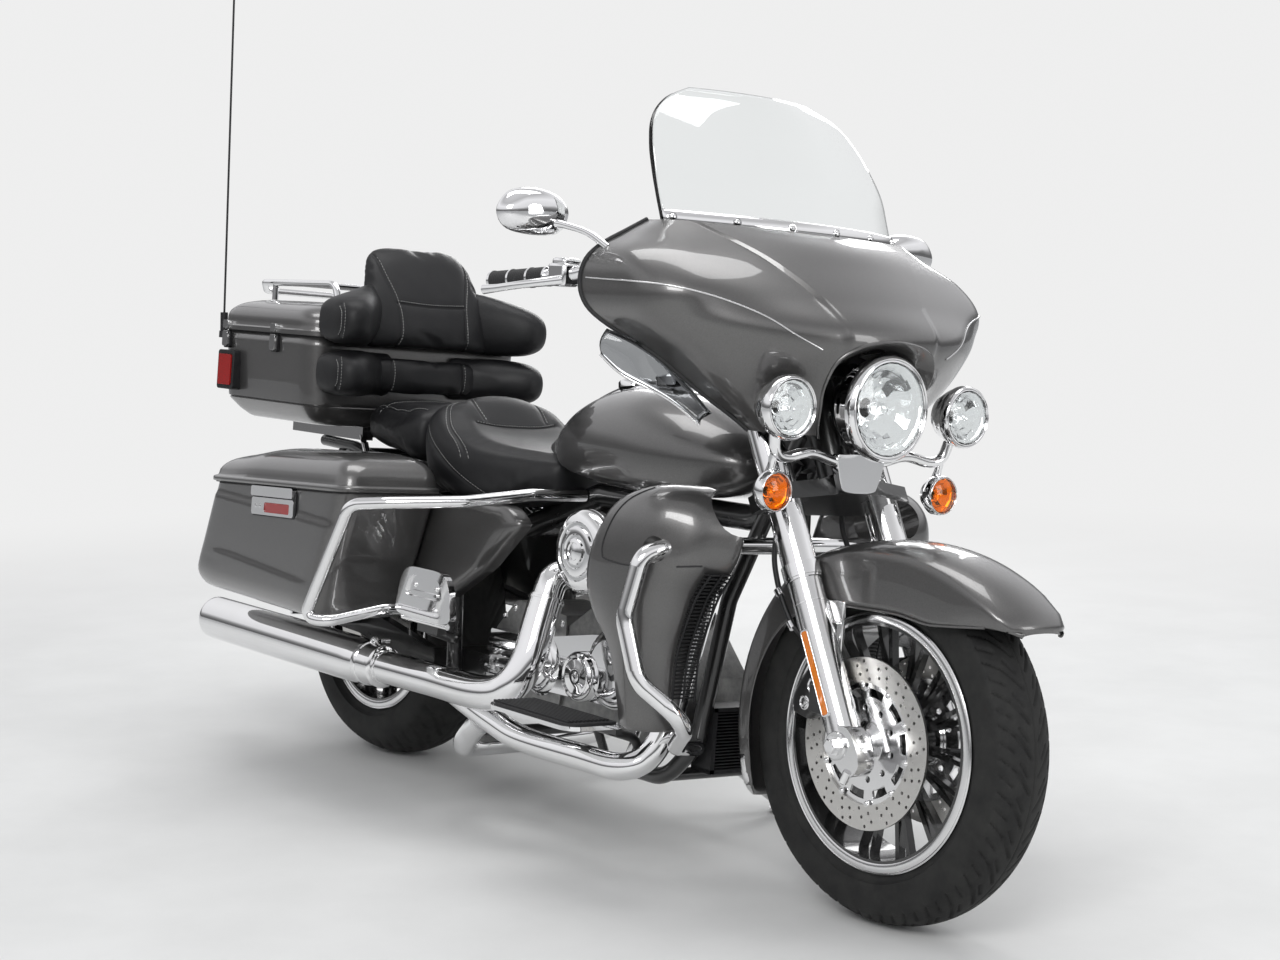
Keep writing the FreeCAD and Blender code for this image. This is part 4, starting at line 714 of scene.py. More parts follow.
# x, half width, low z, edge z, centre z, foot share
RIDER_SEAT = (
    (262, 120, 720, 790, 800, 0.9), (272, 150, 680, 806, 822, 0.92), (300, 176, 650, 822, 846, 0.90),
    (334, 186, 638, 818, 846, 0.88), (362, 190, 632, 800, 820, 0.86), (396, 192, 628, 780, 778, 0.86),
    (440, 190, 624, 764, 752, 0.86), (490, 176, 624, 752, 738, 0.88), (540, 146, 630, 744, 732, 0.9),
    (590, 108, 640, 742, 734, 0.9), (634, 76, 654, 738, 738, 0.9), (654, 60, 664, 730, 734, 0.9),
)
PASSENGER_SEAT = (
    (-12, 120, 724, 786, 796, 0.95), (0, 146, 718, 800, 812, 0.96), (40, 154, 716, 802, 812, 0.97),
    (100, 158, 712, 800, 808, 0.97), (170, 163, 700, 802, 812, 0.98), (228, 165, 690, 806, 818, 0.98),
    (252, 160, 700, 800, 812, 0.98), (262, 138, 720, 786, 796, 0.98),
)


def backrest_cage():
    """The tall centre, leaning back over the case, between the two wings."""
    rings = []
    for z, half, front, back in ((926, 172, 18, -14), (934, 186, 34, -14), (980, 190, 32, -14),
                                 (1030, 184, 14, -22), (1072, 172, -6, -48), (1110, 160, -26, -66),
                                 (1140, 146, -44, -84), (1158, 120, -60, -92), (1164, 92, -68, -88)):
        rings.append([(back, -half * 0.9, z), (back, 0, z), (back, half * 0.9, z),
                      ((front + back) / 2, half, z), (front - 4, half * 0.86, z), (front + 6, half * 0.5, z),
                      (front + 8, 0, z), (front + 6, -half * 0.5, z), (front - 4, -half * 0.86, z),
                      ((front + back) / 2, -half, z)])
    return skinned(rings)


# y, rear x, front x, low z, high z of the two rows of pads beside the tall one
WING_PAD = (
    (-84, -66, -38, 934, 1074), (-104, -62, -22, 932, 1078), (-130, -54, 10, 931, 1078),
    (-162, -42, 58, 930, 1070), (-196, -30, 104, 930, 1058), (-232, -20, 127, 931, 1048),
    (-262, -16, 120, 936, 1038), (-283, -10, 92, 950, 1022),
)
LOWER_PAD = (
    (-70, -22, 6, 818, 922), (-104, -20, 10, 817, 923), (-134, -18, 24, 816, 924),
    (-164, -16, 62, 816, 924), (-198, -14, 102, 816, 923), (-234, -14, 127, 817, 921),
    (-262, -14, 120, 821, 917), (-283, -10, 92, 834, 904),
)


def pod_cage(rows):
    """A bolster beside the rider's back: it wraps forward from the middle to the case's corner."""
    rings = []
    for y, rear, front, low, high in rows:
        depth, tall = front - rear, high - low
        rings.append([(rear + depth * a, y, low + tall * b)
                      for a, b in ((0, 0.10), (0.22, 0), (0.60, 0), (0.90, 0.12), (1, 0.34), (1, 0.66),
                                   (0.90, 0.88), (0.60, 1), (0.22, 1), (0, 0.90), (0, 0.5))])
    return skinned(rings)


def seam_pair(view, depth, stitches, points):
    """A seam and its mirror image, for the front view, read as (y, z), and the top view, as (x, y)."""
    a_sign, b_sign = (-1, 1) if view == "front" else (1, -1)
    mirror = [(a * a_sign, b * b_sign) for a, b in points]
    return [(view, depth, stitches, points), (view, depth, stitches, mirror)]


def seats():
    pad("rider_seat", cushion_cage(RIDER_SEAT), [
        ("top", 3.0, 2, [(470, -176), (420, -168), (366, -158), (320, -126), (296, -70), (290, 0),
                         (296, 70), (320, 126), (366, 158), (420, 168), (470, 176)]),
        *seam_pair("top", 3.5, 1, [(318, -74), (350, -84), (392, -80)]),
        ("top", 5.0, 1, [(394, -104), (402, -60), (404, 0), (402, 60), (394, 104)]),
        *[(side, 3.0, 1, [(300, 772), (340, 742), (400, 704), (470, 664), (540, 622)]) for side in SIDES],
    ], cap=7, replaces=("seat",))
    pad("passenger_seat", cushion_cage(PASSENGER_SEAT), [
        *seam_pair("top", 3.0, 1, [(14, -120), (70, -128), (150, -132), (228, -128)]),
        ("top", 4.0, 1, [(58, -140), (66, -60), (68, 0), (66, 60), (58, 140)]),
    ], cap=8, divide=1)
    pad("backrest_centre", backrest_cage(), [
        *seam_pair("front", 4.5, 1, [(-122, 1150), (-112, 1100), (-92, 1036), (-88, 980), (-92, 930)]),
        ("front", 5.5, 1, [(-92, 1036), (-40, 1033), (0, 1032), (40, 1033), (92, 1036)]),
    ], cap=9, replaces=("backrest_pads",))
    centre = skinned([[(x, -half, z) for z in (824, 870, 916)] + [(x, half, z) for z in (916, 870, 824)]
                      for x, half in ((-14, 120), (-6, 172), (10, 178), (22, 168), (30, 110))])
    pad("lumbar_pad", centre, seam_pair("front", 4.0, 1, [(-96, 920), (-96, 820)]), cap=8, divide=1)
    for name, rows in (("lower_pod", LOWER_PAD), ("wing_pod", WING_PAD)):
        low, high = rows[-1][3:]
        for side in SIDES:
            middle, tall = (low + high) / 2, (high - low) / 2
            cap_line = [(78, middle + tall), (92, middle + tall * 0.6), (96, middle),
                        (92, middle - tall * 0.6), (78, middle - tall)]
            pad(name + "_" + side, sided(side, pod_cage(rows)), [(side, 2.6, 2, cap_line)], cap=6, relax=4)


seats()

# Fairing skin, brow and windshield

# z, rear x, half width, corner radius, corner centre x, nose x, hood ridge y, hood lift
FAIRING = (
    (842, 1352, 176, 60, 1380, 1452, 96, 0),
    (900, 1306, 246, 80, 1352, 1500, 100, 0),
    (965, 1250, 318, 100, 1335, 1526, 104, 0),
    (1030, 1166, 398, 110, 1291, 1532, 110, 5),
    (1085, 1136, 410, 110, 1290, 1467, 128, 9),
    (1140, 1150, 398, 110, 1240, 1400, 172, 9),
    (1180, 1165, 340, 90, 1208, 1350, 222, 8),
    (1206, 1172, 296, 60, 1205, 1300, 258, 6),
)
FAIRING_FOOT, FAIRING_TOP = FAIRING[0][0], FAIRING[-1][0]
FAIRING_WALL = 4
RIDGE_HALF = 6
FRONT_STEPS = 24
CORNER_STEPS = 12


def fairing_half(z):
    """The level outline of one side: (x, y) from the nose round the corner to the rear edge."""
    rear, half, corner, corner_x, nose, ridge, lift = [spread(z, FAIRING, k) for k in range(1, 8)]
    short = nose - corner - corner_x
    side = half - corner
    front = (short ** 2 + side ** 2) / (2 * short) + corner
    middle = nose - front
    meet = math.atan2(side, corner_x - middle)
    line = [(middle + front * math.cos(meet * k / FRONT_STEPS), front * math.sin(meet * k / FRONT_STEPS))
            for k in range(FRONT_STEPS)]
    line += [(corner_x + corner * math.cos(meet + (math.pi / 2 - meet) * k / CORNER_STEPS),
              side + corner * math.sin(meet + (math.pi / 2 - meet) * k / CORNER_STEPS))
             for k in range(CORNER_STEPS)]
    line += [(corner_x + (rear - corner_x) * k / 8, half) for k in range(9)]
    line = np.array(line)
    reach = np.concatenate(((0,), np.cumsum(np.linalg.norm(np.diff(line, axis=0), axis=1))))
    bent = FRONT_STEPS + CORNER_STEPS + 1
    at_ridge = np.interp(ridge, line[:bent, 1], reach[:bent])
    places = np.concatenate((np.linspace(0, at_ridge - RIDGE_HALF, 14), [at_ridge],
                             np.linspace(at_ridge + RIDGE_HALF, reach[-1], 40)))
    x = np.interp(places, reach, line[:, 0])
    y = np.interp(places, reach, line[:, 1])
    out_x, out_y = np.gradient(y), -np.gradient(x)
    size = np.hypot(out_x, out_y)
    rise = np.where(places < at_ridge - 1, lift, 0.0) + np.where(abs(places - at_ridge) < 1, lift * 0.5, 0.0)
    hollow = np.array([14 * bump(z, 905, 85) * bump(value, 172, 80) for value in y])
    return [(a + (up - dent) * u / n, b + (up - dent) * v / n)
            for a, b, u, v, n, up, dent in zip(x, y, out_x, out_y, size, rise, hollow)]


def fairing_front(y, z):
    """How far forward the skin stands at a place on its front."""
    line = fairing_half(z)
    return float(np.interp(abs(y), [item[1] for item in line[:46]], [item[0] for item in line[:46]]))


def fairing_skin():
    rings = []
    for step in range(53):
        z = FAIRING_FOOT + (FAIRING_TOP - FAIRING_FOOT) * step / 52
        half = fairing_half(z)
        rings.append([(x, -y, z) for x, y in half[::-1]] + [(x, y, z) for x, y in half[1:]])
    skin = piece("fairing_skin", "steering", PAINT, skinned(rings, around=False),
                 thick=FAIRING_WALL, replaces=("outer_fairing",))
    settled(skin)
    loop = smooth_open(BROW, 6) + [(BROW[-1][0], 790), (BROW[0][0], 790)]
    tool = skinned([[(x, y, z) for y, z in loop] for x in (1395, 1570)])
    carved(skin, tool)
    edge = [(*fairing_half(z)[-1], z) for z in np.linspace(FAIRING_FOOT, FAIRING_TOP, 16)]
    rim = piped(edge, 4.5, 10, 3)
    piece("fairing_rim", "steering", RUBBER, both_sides(rim), 60)


# Brow over the headlight: y, z along its edge, from one foot over the top to the other
BROW = ((-90, 836), (-110, 880), (-126, 932), (-120, 978), (-78, 1008), (0, 1019),
        (78, 1008), (120, 978), (126, 932), (110, 880), (90, 836))


HEADLIGHT_Z = 898
# Where the brow's inside meets the headlight's shell: radius round the lamp, and x
FUNNEL_THROAT = 91
FUNNEL_BACK = 1424


def brow_funnel():
    """The painted inside of the brow, from its rolled lip back to the headlight's shell."""
    edge = smooth_open(BROW, 6)
    rings = []
    for inward, back in ((0.0, -0.5), (0.02, 1.5), (0.07, 3), (0.16, -2), (0.45, -26), (1.0, -66)):
        ring = []
        for y, z in edge:
            angle = math.atan2(z - HEADLIGHT_Z, y)
            inner_y = FUNNEL_THROAT * math.cos(angle)
            inner_z = HEADLIGHT_Z + FUNNEL_THROAT * math.sin(angle)
            x = fairing_front(y, max(z, 844)) + back
            if inward == 1.0:
                x = FUNNEL_BACK
            ring.append((x, y + (inner_y - y) * inward, z + (inner_z - z) * inward))
        rings.append(ring)
    piece("brow_funnel", "steering", PAINT, skinned(rings, around=False), 50, thick=2, offset=0)


PIN_LINE = ((1154, -409.5, 1092), (1225, -410.5, 1090), (1300, -409.5, 1088), (1375, -370, 1082),
            (1412, -310, 1069), (1453, -252, 1047), (1488, -202, 1017), (1506, -152, 994))


def pin_lines():
    """A fine pale line along each flank, sunk in the lacquer."""
    places = [(x if x < 1310 else fairing_front(y, z) + 0.4, y - 1.2, z)
              for x, y, z in smooth_line(PIN_LINE, 6)]
    ring = piped(places, 1.6, 8, 2)
    piece("pin_lines", "steering", POLISHED, both_sides(ring), 60)


# Windshield: z, edge x, half width, nose x
SCREEN = ((1207, 1203, 290, 1294), (1250, 1186, 291, 1272), (1300, 1166, 290, 1246), (1350, 1139, 279, 1213),
          (1400, 1112, 256, 1180), (1440, 1095, 213, 1149), (1466, 1082, 150, 1122))
SCREEN_FOOT, SCREEN_TOP = SCREEN[0][0], SCREEN[-1][0]
TRIM_BOLTS = (-272, -165, -55, 55, 165, 272)


def screen_arc(z):
    """The arc across the sheet through its two edges and its nose: its centre's x and its radius."""
    edge, half, nose = [spread(z, SCREEN, k) for k in (1, 2, 3)]
    sag = nose - edge
    radius = (sag ** 2 + half ** 2) / (2 * sag)
    return nose - radius, radius


def screen_point(z, y, out=0.0):
    centre, radius = screen_arc(z)
    angle = math.asin(min(abs(y) / radius, 1))
    return centre + (radius + out) * math.cos(angle), math.copysign((radius + out) * math.sin(angle), y), z


def windshield():
    rings = []
    for step in range(41):
        z = SCREEN_FOOT + (SCREEN_TOP - SCREEN_FOOT) * step / 40
        half = spread(z, SCREEN, 2)
        rings.append([screen_point(z, half * k / 24) for k in range(-24, 25)])
    piece("screen_sheet", "steering", CLEAR, skinned(rings, around=False), 60, thick=3.8,
          replaces=("windshield",))
    strip = []
    for z, out in ((1201, -1), (1201, 4), (1203, 6), (1211, 8.5), (1222, 8), (1226, 5), (1226, 1)):
        strip.append([screen_point(max(z, SCREEN_FOOT), 286 * k / 24, out)[:2] + (z,)
                      for k in range(-24, 25)])
    piece("screen_trim", "steering", CHROME, skinned(strip, around=False), 50, thick=1.2)
    bolts = []
    for y in TRIM_BOLTS:
        x, wide, z = screen_point(1212, y, 8)
        bolts.append(dome_bolt((x, wide, z), (x - screen_arc(z)[0], wide, 0), 6.5, 5))
    piece("screen_bolts", "steering", POLISHED, joined(*bolts), 60)


# Wind deflectors under the lobes: the upper edge, then the lower edge
DEFLECTOR_TOP = ((1196, -388, 1004), (1232, -346, 986), (1252, -300, 958), (1282, -262, 914),
                 (1322, -236, 868))
DEFLECTOR_FOOT = ((1190, -392, 958), (1214, -362, 926), (1248, -330, 906), (1282, -292, 882),
                  (1318, -258, 846))


def wind_deflectors():
    top = smooth_line(DEFLECTOR_TOP, 6)
    foot = smooth_line(DEFLECTOR_FOOT, 6)
    rings = [[a.lerp(b, t) + Vector((0, -9 * math.sin(math.pi * t), 0)) for a, b in zip(top, foot)]
             for t in np.linspace(0, 1, 7)]
    sheet = skinned(rings, around=False)
    piece("wind_deflectors", "steering", SMOKE, both_sides(sheet), 60, thick=3)
    edging = piped([tuple(item + Vector((0, -2, 0))) for item in foot[::4]], 2.6, 8, 4)
    piece("deflector_trim", "steering", CHROME, both_sides(edging), 60)


# Lamps

BOWL_CURVE = 0.86


def facet_bowl(centre, radius, depth, rays, rows):
    """A bowl of flat mirror facets, opening forward along X."""
    rings = []
    for row in range(rows + 1):
        t = row / rows
        reach = radius * (0.16 + 0.84 * t)
        back = -depth * (1 - t ** 2 * BOWL_CURVE - t * (1 - BOWL_CURVE))
        shift = 0.5 if row % 2 else 0.0
        rings.append([(centre[0] + back, centre[1] + reach * math.cos(2 * math.pi * (k + shift) / rays),
                       centre[2] + reach * math.sin(2 * math.pi * (k + shift) / rays)) for k in range(rays)])
    return skinned(rings, ends=False)


def lens_dome(centre, radius, bulge, wall=2.0):
    """A clear domed cover with its skirt."""
    outer = [(bulge * (1 - (t / 10) ** 2), radius * t / 10) for t in range(11)]
    inner = [(bulge * (1 - (t / 10) ** 2) - wall, (radius - wall) * t / 10) for t in range(10, -1, -1)]
    return turned(outer + [(-6, radius), (-6, radius - wall)] + inner, centre, (1, 0, 0), 64)


# Name, centre of the lens's rim, lens radius, shell radius, shell depth, bulge, facet rays, facet rows
ROUND_LAMPS = (
    ("headlight", (1531, 0, HEADLIGHT_Z), 83, 96, 104, 7, 24, 5),
    ("aux_right", (1513, -217, 891), 49, 57.5, 70, 5, 16, 4),
    ("aux_left", (1513, 217, 891), 49, 57.5, 70, 5, 16, 4),
    ("signal_right", (1477, -207, 743), 32, 37, 44, 8, 12, 3),
    ("signal_left", (1477, 207, 743), 32, 37, 44, 8, 12, 3),
)


def round_lamps():
    for name, centre, radius, shell, depth, bulge, rays, rows in ROUND_LAMPS:
        step = (shell - radius) / 2
        body = turned([(-depth, 0), (-depth, shell * 0.35), (-depth * 0.8, shell * 0.68),
                       (-depth * 0.45, shell * 0.9), (-20, shell * 0.955), (-17, shell), (-6, shell),
                       (-1, shell - step * 0.35), (1.5, shell - step * 0.8), (0.5, shell - step * 1.1),
                       (-2, shell - step * 1.2), (0.5, shell - step * 1.35), (1.2, radius + step * 0.3),
                       (-1, radius - 0.5), (-16, radius - 1)], centre, (1, 0, 0), 72)
        skin = (body[0], body[1][:-1])
        piece(name + "_shell", "steering", CHROME, skin, 50)
        bowl = facet_bowl((centre[0] - 4, centre[1], centre[2]), radius - 1, depth * 0.55, rays, rows)
        piece(name + "_reflector", "steering", MIRROR_FACETS, bowl, 3, thick=1)
        bulb = turned([(-depth * 0.5, radius * 0.13), (-depth * 0.3, radius * 0.15),
                       (-depth * 0.24, radius * 0.15), (-depth * 0.15, radius * 0.10), (-depth * 0.12, 0)],
                      centre, (1, 0, 0), 24)
        amber = name.startswith("signal")
        piece(name + "_bulb", "steering", CHROME, bulb, 40)
        lens = lens_dome(centre, radius, bulge)
        piece(name + "_lens", "steering", AMBER_GLASS if amber else CLEAR, lens, 50)


def light_bar():
    """The wavy bar under the headlight with its plate, and a stalk to each signal."""
    wave = [(1472, -217, 846), (1466, -206, 812), (1461, -176, 803), (1458, -120, 812), (1457, -60, 800),
            (1457, 0, 794), (1457, 60, 800), (1458, 120, 812), (1461, 176, 803), (1466, 206, 812),
            (1472, 217, 846)]
    bar = piped(wave, 10, 16, 8)
    stalks = both_sides(piped([(1462, -206, 815), (1459, -207, 790), (1450, -207, 764)], [9, 7, 9], 14, 6))
    front = [(-58, 806), (-40, 812), (40, 812), (58, 806), (46, 758), (30, 744), (-30, 744), (-46, 758)]
    shield = front_plate([smooth_closed(front, 5)], 1452, 1468)
    piece("lamp_bar", "steering", CHROME, joined(bar, stalks, shield), 40, bevel=1.2,
          replaces=("light_bar", "headlight"))


fairing_skin()
brow_funnel()
pin_lines()
windshield()
wind_deflectors()
round_lamps()
light_bar()

# Wheels: tyres with cut tread, bright rim lips, drilled discs

# Name, body, axle x, half width, bead radius, flange half width, tread pitches
WHEELS = (
    ("front", "front_wheel", FRONT_AXLE, 65, 218, 50, 34),
    ("rear", "rear_wheel", 0, 90, 208, 70, 25),
)
# Grooves of one pitch: start and end as (share of the pitch, share of the half width), half width in mm
TREAD_GROOVES = (
    ((0.00, 0.13), (0.62, 0.50), 1.9), ((0.62, 0.50), (1.02, 0.90), 1.7), ((0.50, 0.22), (0.86, 0.42), 1.3),
    ((0.20, 0.58), (0.48, 0.88), 1.4),
)
TREAD_DEPTH = 3.6
CENTRE_GROOVE = 1.5


def tyre_section(half, bead, count):
    """Half of a tyre's outline from the crown to the bead: (y, radius), with the share of the tread."""
    shoulder = TYRE_RADIUS - half * 0.36
    wide = half * 0.93
    drop = TYRE_RADIUS - shoulder
    crown = (wide ** 2 + drop ** 2) / (2 * drop)
    sweep = math.asin(wide / crown)
    line = [(crown * math.sin(sweep * k / count), TYRE_RADIUS - crown * (1 - math.cos(sweep * k / count)),
             k / count) for k in range(count + 1)]
    side = [(half * 0.985, shoulder - 9), (half, (bead + shoulder) / 2 + 6),
            (half * 0.97, (bead + shoulder) / 2 - 14), (half * 0.86, bead + 22), (half * 0.84, bead + 18),
            (half * 0.78, bead + 9), (half * 0.70, bead + 8), (half * 0.66, bead + 1)]
    return line + [(y, radius, 2.0) for y, radius in side]


def treaded_tyre(name, body, axle, half, bead, pitches):
    """A tyre whose tread grooves are cut into its surface, pitch by pitch."""
    narrow = half < 80
    across = 26 if narrow else 20
    section = tyre_section(half, bead, across)
    full = [(-y, radius, share) for y, radius, share in section[:0:-1]] + section
    steps = pitches * (16 if narrow else 14)
    pitch = 2 * math.pi * TYRE_RADIUS / pitches
    offsets = np.arange(steps) * pitches / steps
    rings = []
    for y, radius, share in full:
        depth = np.zeros(steps)
        if share <= 1.0:
            phase = (offsets + (0.5 if y < 0 else 0.0)) % 1.0
            for start, end, wide in TREAD_GROOVES:
                for turn in (-1, 0, 1):
                    a = np.array(((start[0] + turn) * pitch, start[1] * half))
                    b = np.array(((end[0] + turn) * pitch, end[1] * half))
                    spots = np.stack((phase * pitch, np.full(steps, share * half * 0.93)), axis=1)
                    t = np.clip((spots - a) @ (b - a) / ((b - a) @ (b - a)), 0, 1)
                    gap = np.linalg.norm(spots - a - t[:, None] * (b - a), axis=1)
                    depth = np.maximum(depth, TREAD_DEPTH * np.clip((wide + 1.3 - gap) / 1.6, 0, 1))
        if abs(y) < 1:
            depth = np.maximum(depth, CENTRE_GROOVE)
        turn = 2 * math.pi * np.arange(steps) / steps
        reach = radius - depth
        rings.append(list(zip(axle + reach * np.cos(turn), np.full(steps, y),
                              TYRE_RADIUS + reach * np.sin(turn))))
    shape = skinned(rings, ends=False)
    piece(name + "_treaded_tyre", body, TYRE_RUBBER, shape, 50, replaces=(name + "_tyre",))


def rim_lips(name, body, axle, bead, flange):
    """The turned bright edge of a black wheel, with a shallow groove, and its valve."""
    lip = flange + 5
    profile = [(lip - 7, bead - 9), (lip + 0.2, bead - 9), (lip + 1.2, bead - 7), (lip + 1.2, bead + 4),
               (lip + 0.4, bead + 6), (lip + 1.6, bead + 8), (lip, bead + 10.5), (lip - 3, bead + 10.5)]
    right = [(-along, radius) for along, radius in profile][::-1]
    shapes = [turned(profile, (axle, 0, TYRE_RADIUS), (0, 1, 0), 120),
              turned(right, (axle, 0, TYRE_RADIUS), (0, 1, 0), 120)]
    open_rings = [uncapped(shape) for shape in shapes]
    piece(name + "_rim_lips", body, POLISHED, joined(*open_rings), 30, thick=1.5, slot_name="disc_steel")
    valve = piped([(axle + 196, -24, TYRE_RADIUS + 20), (axle + 182, -32, TYRE_RADIUS + 19),
                   (axle + 168, -42, TYRE_RADIUS + 18)], [4.5, 4, 3], 12, 4)
    piece(name + "_valve", body, RUBBER, valve, 60)


# Brake discs: rows of holes as (radius, hole radius, share of a repeat)
DISC_HOLES = ((113, 3.0, 0.0), (120, 3.0, 0.5), (127.5, 3.0, 0.15), (135, 3.0, 0.62), (143, 3.0, 0.30))
DISC_REPEATS = 16


def drilled_disc(axle, side, inner, outer):
    """A ground steel ring with its holes, and the dished carrier with windows, at one side."""
    def at_side(a, b, level):
        return (axle + a, side * level, TYRE_RADIUS + b)

    loops = [circle(0, 0, outer, 96), circle(0, 0, inner, 72)]
    for number in range(DISC_REPEATS):
        for radius, hole, share in DISC_HOLES:
            turn = 2 * math.pi * (number + share) / DISC_REPEATS
            loops.append(circle(radius * math.cos(turn), radius * math.sin(turn), hole, 10))
    ring = plate(loops, 75.2, 80, at_side)
    windows = [circle(0, 0, inner + 3, 72), circle(0, 0, 33, 36)]
    for number in range(10):
        middle = 2 * math.pi * (number + 0.25) / 10
        half = 0.19
        outside = [(96 * math.cos(middle + half * k / 4), 96 * math.sin(middle + half * k / 4))
                   for k in range(-4, 5)]
        inside = [(82 * math.cos(middle + half * k / 4), 82 * math.sin(middle + half * k / 4))
                  for k in range(4, -5, -1)]
        windows.append(outside + inside)
        small = middle + math.pi / 10
        windows.append(circle(62 * math.cos(small), 62 * math.sin(small), 5.5, 14))
    carrier = plate(windows, 69, 74.8, at_side)
    hub = turned([(62, 0), (62, 46), (68, 46), (76, 38), (80, 30), (84, 26), (88, 25), (88, 0)],
                 (axle, 0, TYRE_RADIUS), (0, side, 0), 48)
    bolts = []
    for number in range(10):
        turn = 2 * math.pi * (number + 0.75) / 10
        at = at_side(103 * math.cos(turn), 103 * math.sin(turn), 79.5)
        bolts.append(dome_bolt(at, (0, side, 0), 4.6, 3.5))
    return ring, joined(carrier, hub), joined(*bolts)


def discs():
    for side, name in ((-1, "right"), (1, "left")):
        ring, carrier, bolts = drilled_disc(FRONT_AXLE, side, 106, 150)
        keep = ("front_discs",) if side < 0 else ()
        piece("front_disc_" + name, "front_wheel", DISC, ring, 30, replaces=keep)
        piece("front_carrier_" + name, "front_wheel", POLISHED, carrier, 30, bevel=0.8,
              slot_name="disc_steel")
        piece("front_disc_bolts_" + name, "front_wheel", CHROME, bolts, 60, slot_name="disc_steel")


for wheel, wheel_body, axle_x, half_width, bead_radius, flange_half, pitch_count in WHEELS:
    treaded_tyre(wheel, wheel_body, axle_x, half_width, bead_radius, pitch_count)
    rim_lips(wheel, wheel_body, axle_x, bead_radius, flange_half)
discs()


# Front fender: degrees round the axle from straight ahead, crown radius, skirt radius, half width
FENDER = (
    (36.8, 397, 391, 46), (39, 401, 376, 68), (43, 399, 350, 81), (50, 391, 303, 86), (60, 379, 262, 87),
    (75, 365, 242, 87), (92, 355, 233, 87), (106, 355, 240, 87), (118, 360, 254, 87), (130, 361, 272, 87),
    (150, 356, 290, 86), (175, 350, 298, 85), (195, 348, 300, 84), (204, 346, 308, 80), (207, 344, 322, 66),
)


def fender_ring(angle, grow=0.0):
    crown, skirt, half = [spread(angle, FENDER, k) for k in (1, 2, 3)]
    turn = math.radians(angle)
    shoulder = min(crown - 6, crown - 0.30 * half)
    loop = []
    for step in range(-14, 15):
        t = step / 14
        bend = math.radians(86) * t
        y = half * math.sin(bend) / math.sin(math.radians(86))
        radius = shoulder + (crown - shoulder) * math.cos(bend)
        loop.append((y, radius))
    sides = [(half * (1 + 0.015 * math.sin(math.pi * k / 8)), shoulder - (shoulder - skirt) * k / 8)
             for k in range(1, 9)]
    loop = [(-y, radius) for y, radius in sides[::-1]] + loop + sides
    return [(FRONT_AXLE + (radius + grow) * math.cos(turn), y, TYRE_RADIUS + (radius + grow) * math.sin(turn))
            for y, radius in loop]


def front_fender():
    angles = [row[0] for row in FENDER[:4]] + list(np.linspace(54, 200, 62)) + [row[0] for row in FENDER[-2:]]
    rings = [fender_ring(angle) for angle in angles]
    piece("fender_shell", "steering", PAINT, skinned(rings, around=False), 45, thick=3.2,
          replaces=("front_fender",))
    edges = [piped([ring[side] for ring in rings[2:-1]], 2.2, 8, 2) for side in (0, -1)]
    piece("fender_edges", "steering", PAINT, joined(*edges), 60)
    tip = [fender_ring(angle, 2.2)[2:-2] for angle in np.linspace(194, 207, 8)]
    piece("fender_tip_plate", "steering", POLISHED, skinned(tip, around=False), 45, thick=1.6)
    # The mounts that reach from the fender's inside to the fork legs
    arm = joined(brick((1500, 1548), (-92, -84), (470, 560)), brick((1506, 1540), (-112, -86), (490, 522)))
    piece("fender_mounts", "steering", POLISHED, both_sides(arm), 40, bevel=3)
    bolts = [dome_bolt((1524, side * 112, z), (0, side, 0), 6.5) for side in (-1, 1) for z in (498, 514)]
    piece("fender_bolts", "steering", CHROME, joined(*bolts), 60)


front_fender()


# Fork: reflectors, axle clamps and calipers

FORK_RAKE = math.radians(28)
LEG_LINE = Vector((-math.sin(FORK_RAKE), 0, math.cos(FORK_RAKE)))
LEG_AHEAD = Vector((math.cos(FORK_RAKE), 0, math.sin(FORK_RAKE)))


def on_fork(z, y):
    """A place level with a fork leg's centre line at a height."""
    foot = Vector((FRONT_AXLE, 0, TYRE_RADIUS))
    return foot + LEG_LINE * ((z - TYRE_RADIUS) / math.cos(FORK_RAKE)) + Vector((0, y, 0))


def arc_body(angles, radii, sides, corner, centre=(FRONT_AXLE, TYRE_RADIUS), tip=0.55):
    """A block bent round an axle, with softened corners and narrower ends."""
    rings = []
    count = 18
    for step in range(count + 1):
        t = step / count
        turn = math.radians(angles[0] + (angles[1] - angles[0]) * t)
        share = tip + (1 - tip) * min(1, 4 * min(t, 1 - t) + 0.12) ** 0.6
        middle, half = (radii[0] + radii[1]) / 2, (radii[1] - radii[0]) / 2 * share
        ring = rounded((middle - half, middle + half), sides, corner, 4)
        rings.append([(centre[0] + r * math.cos(turn), y, centre[1] + r * math.sin(turn)) for r, y in ring])
    return skinned(rings)


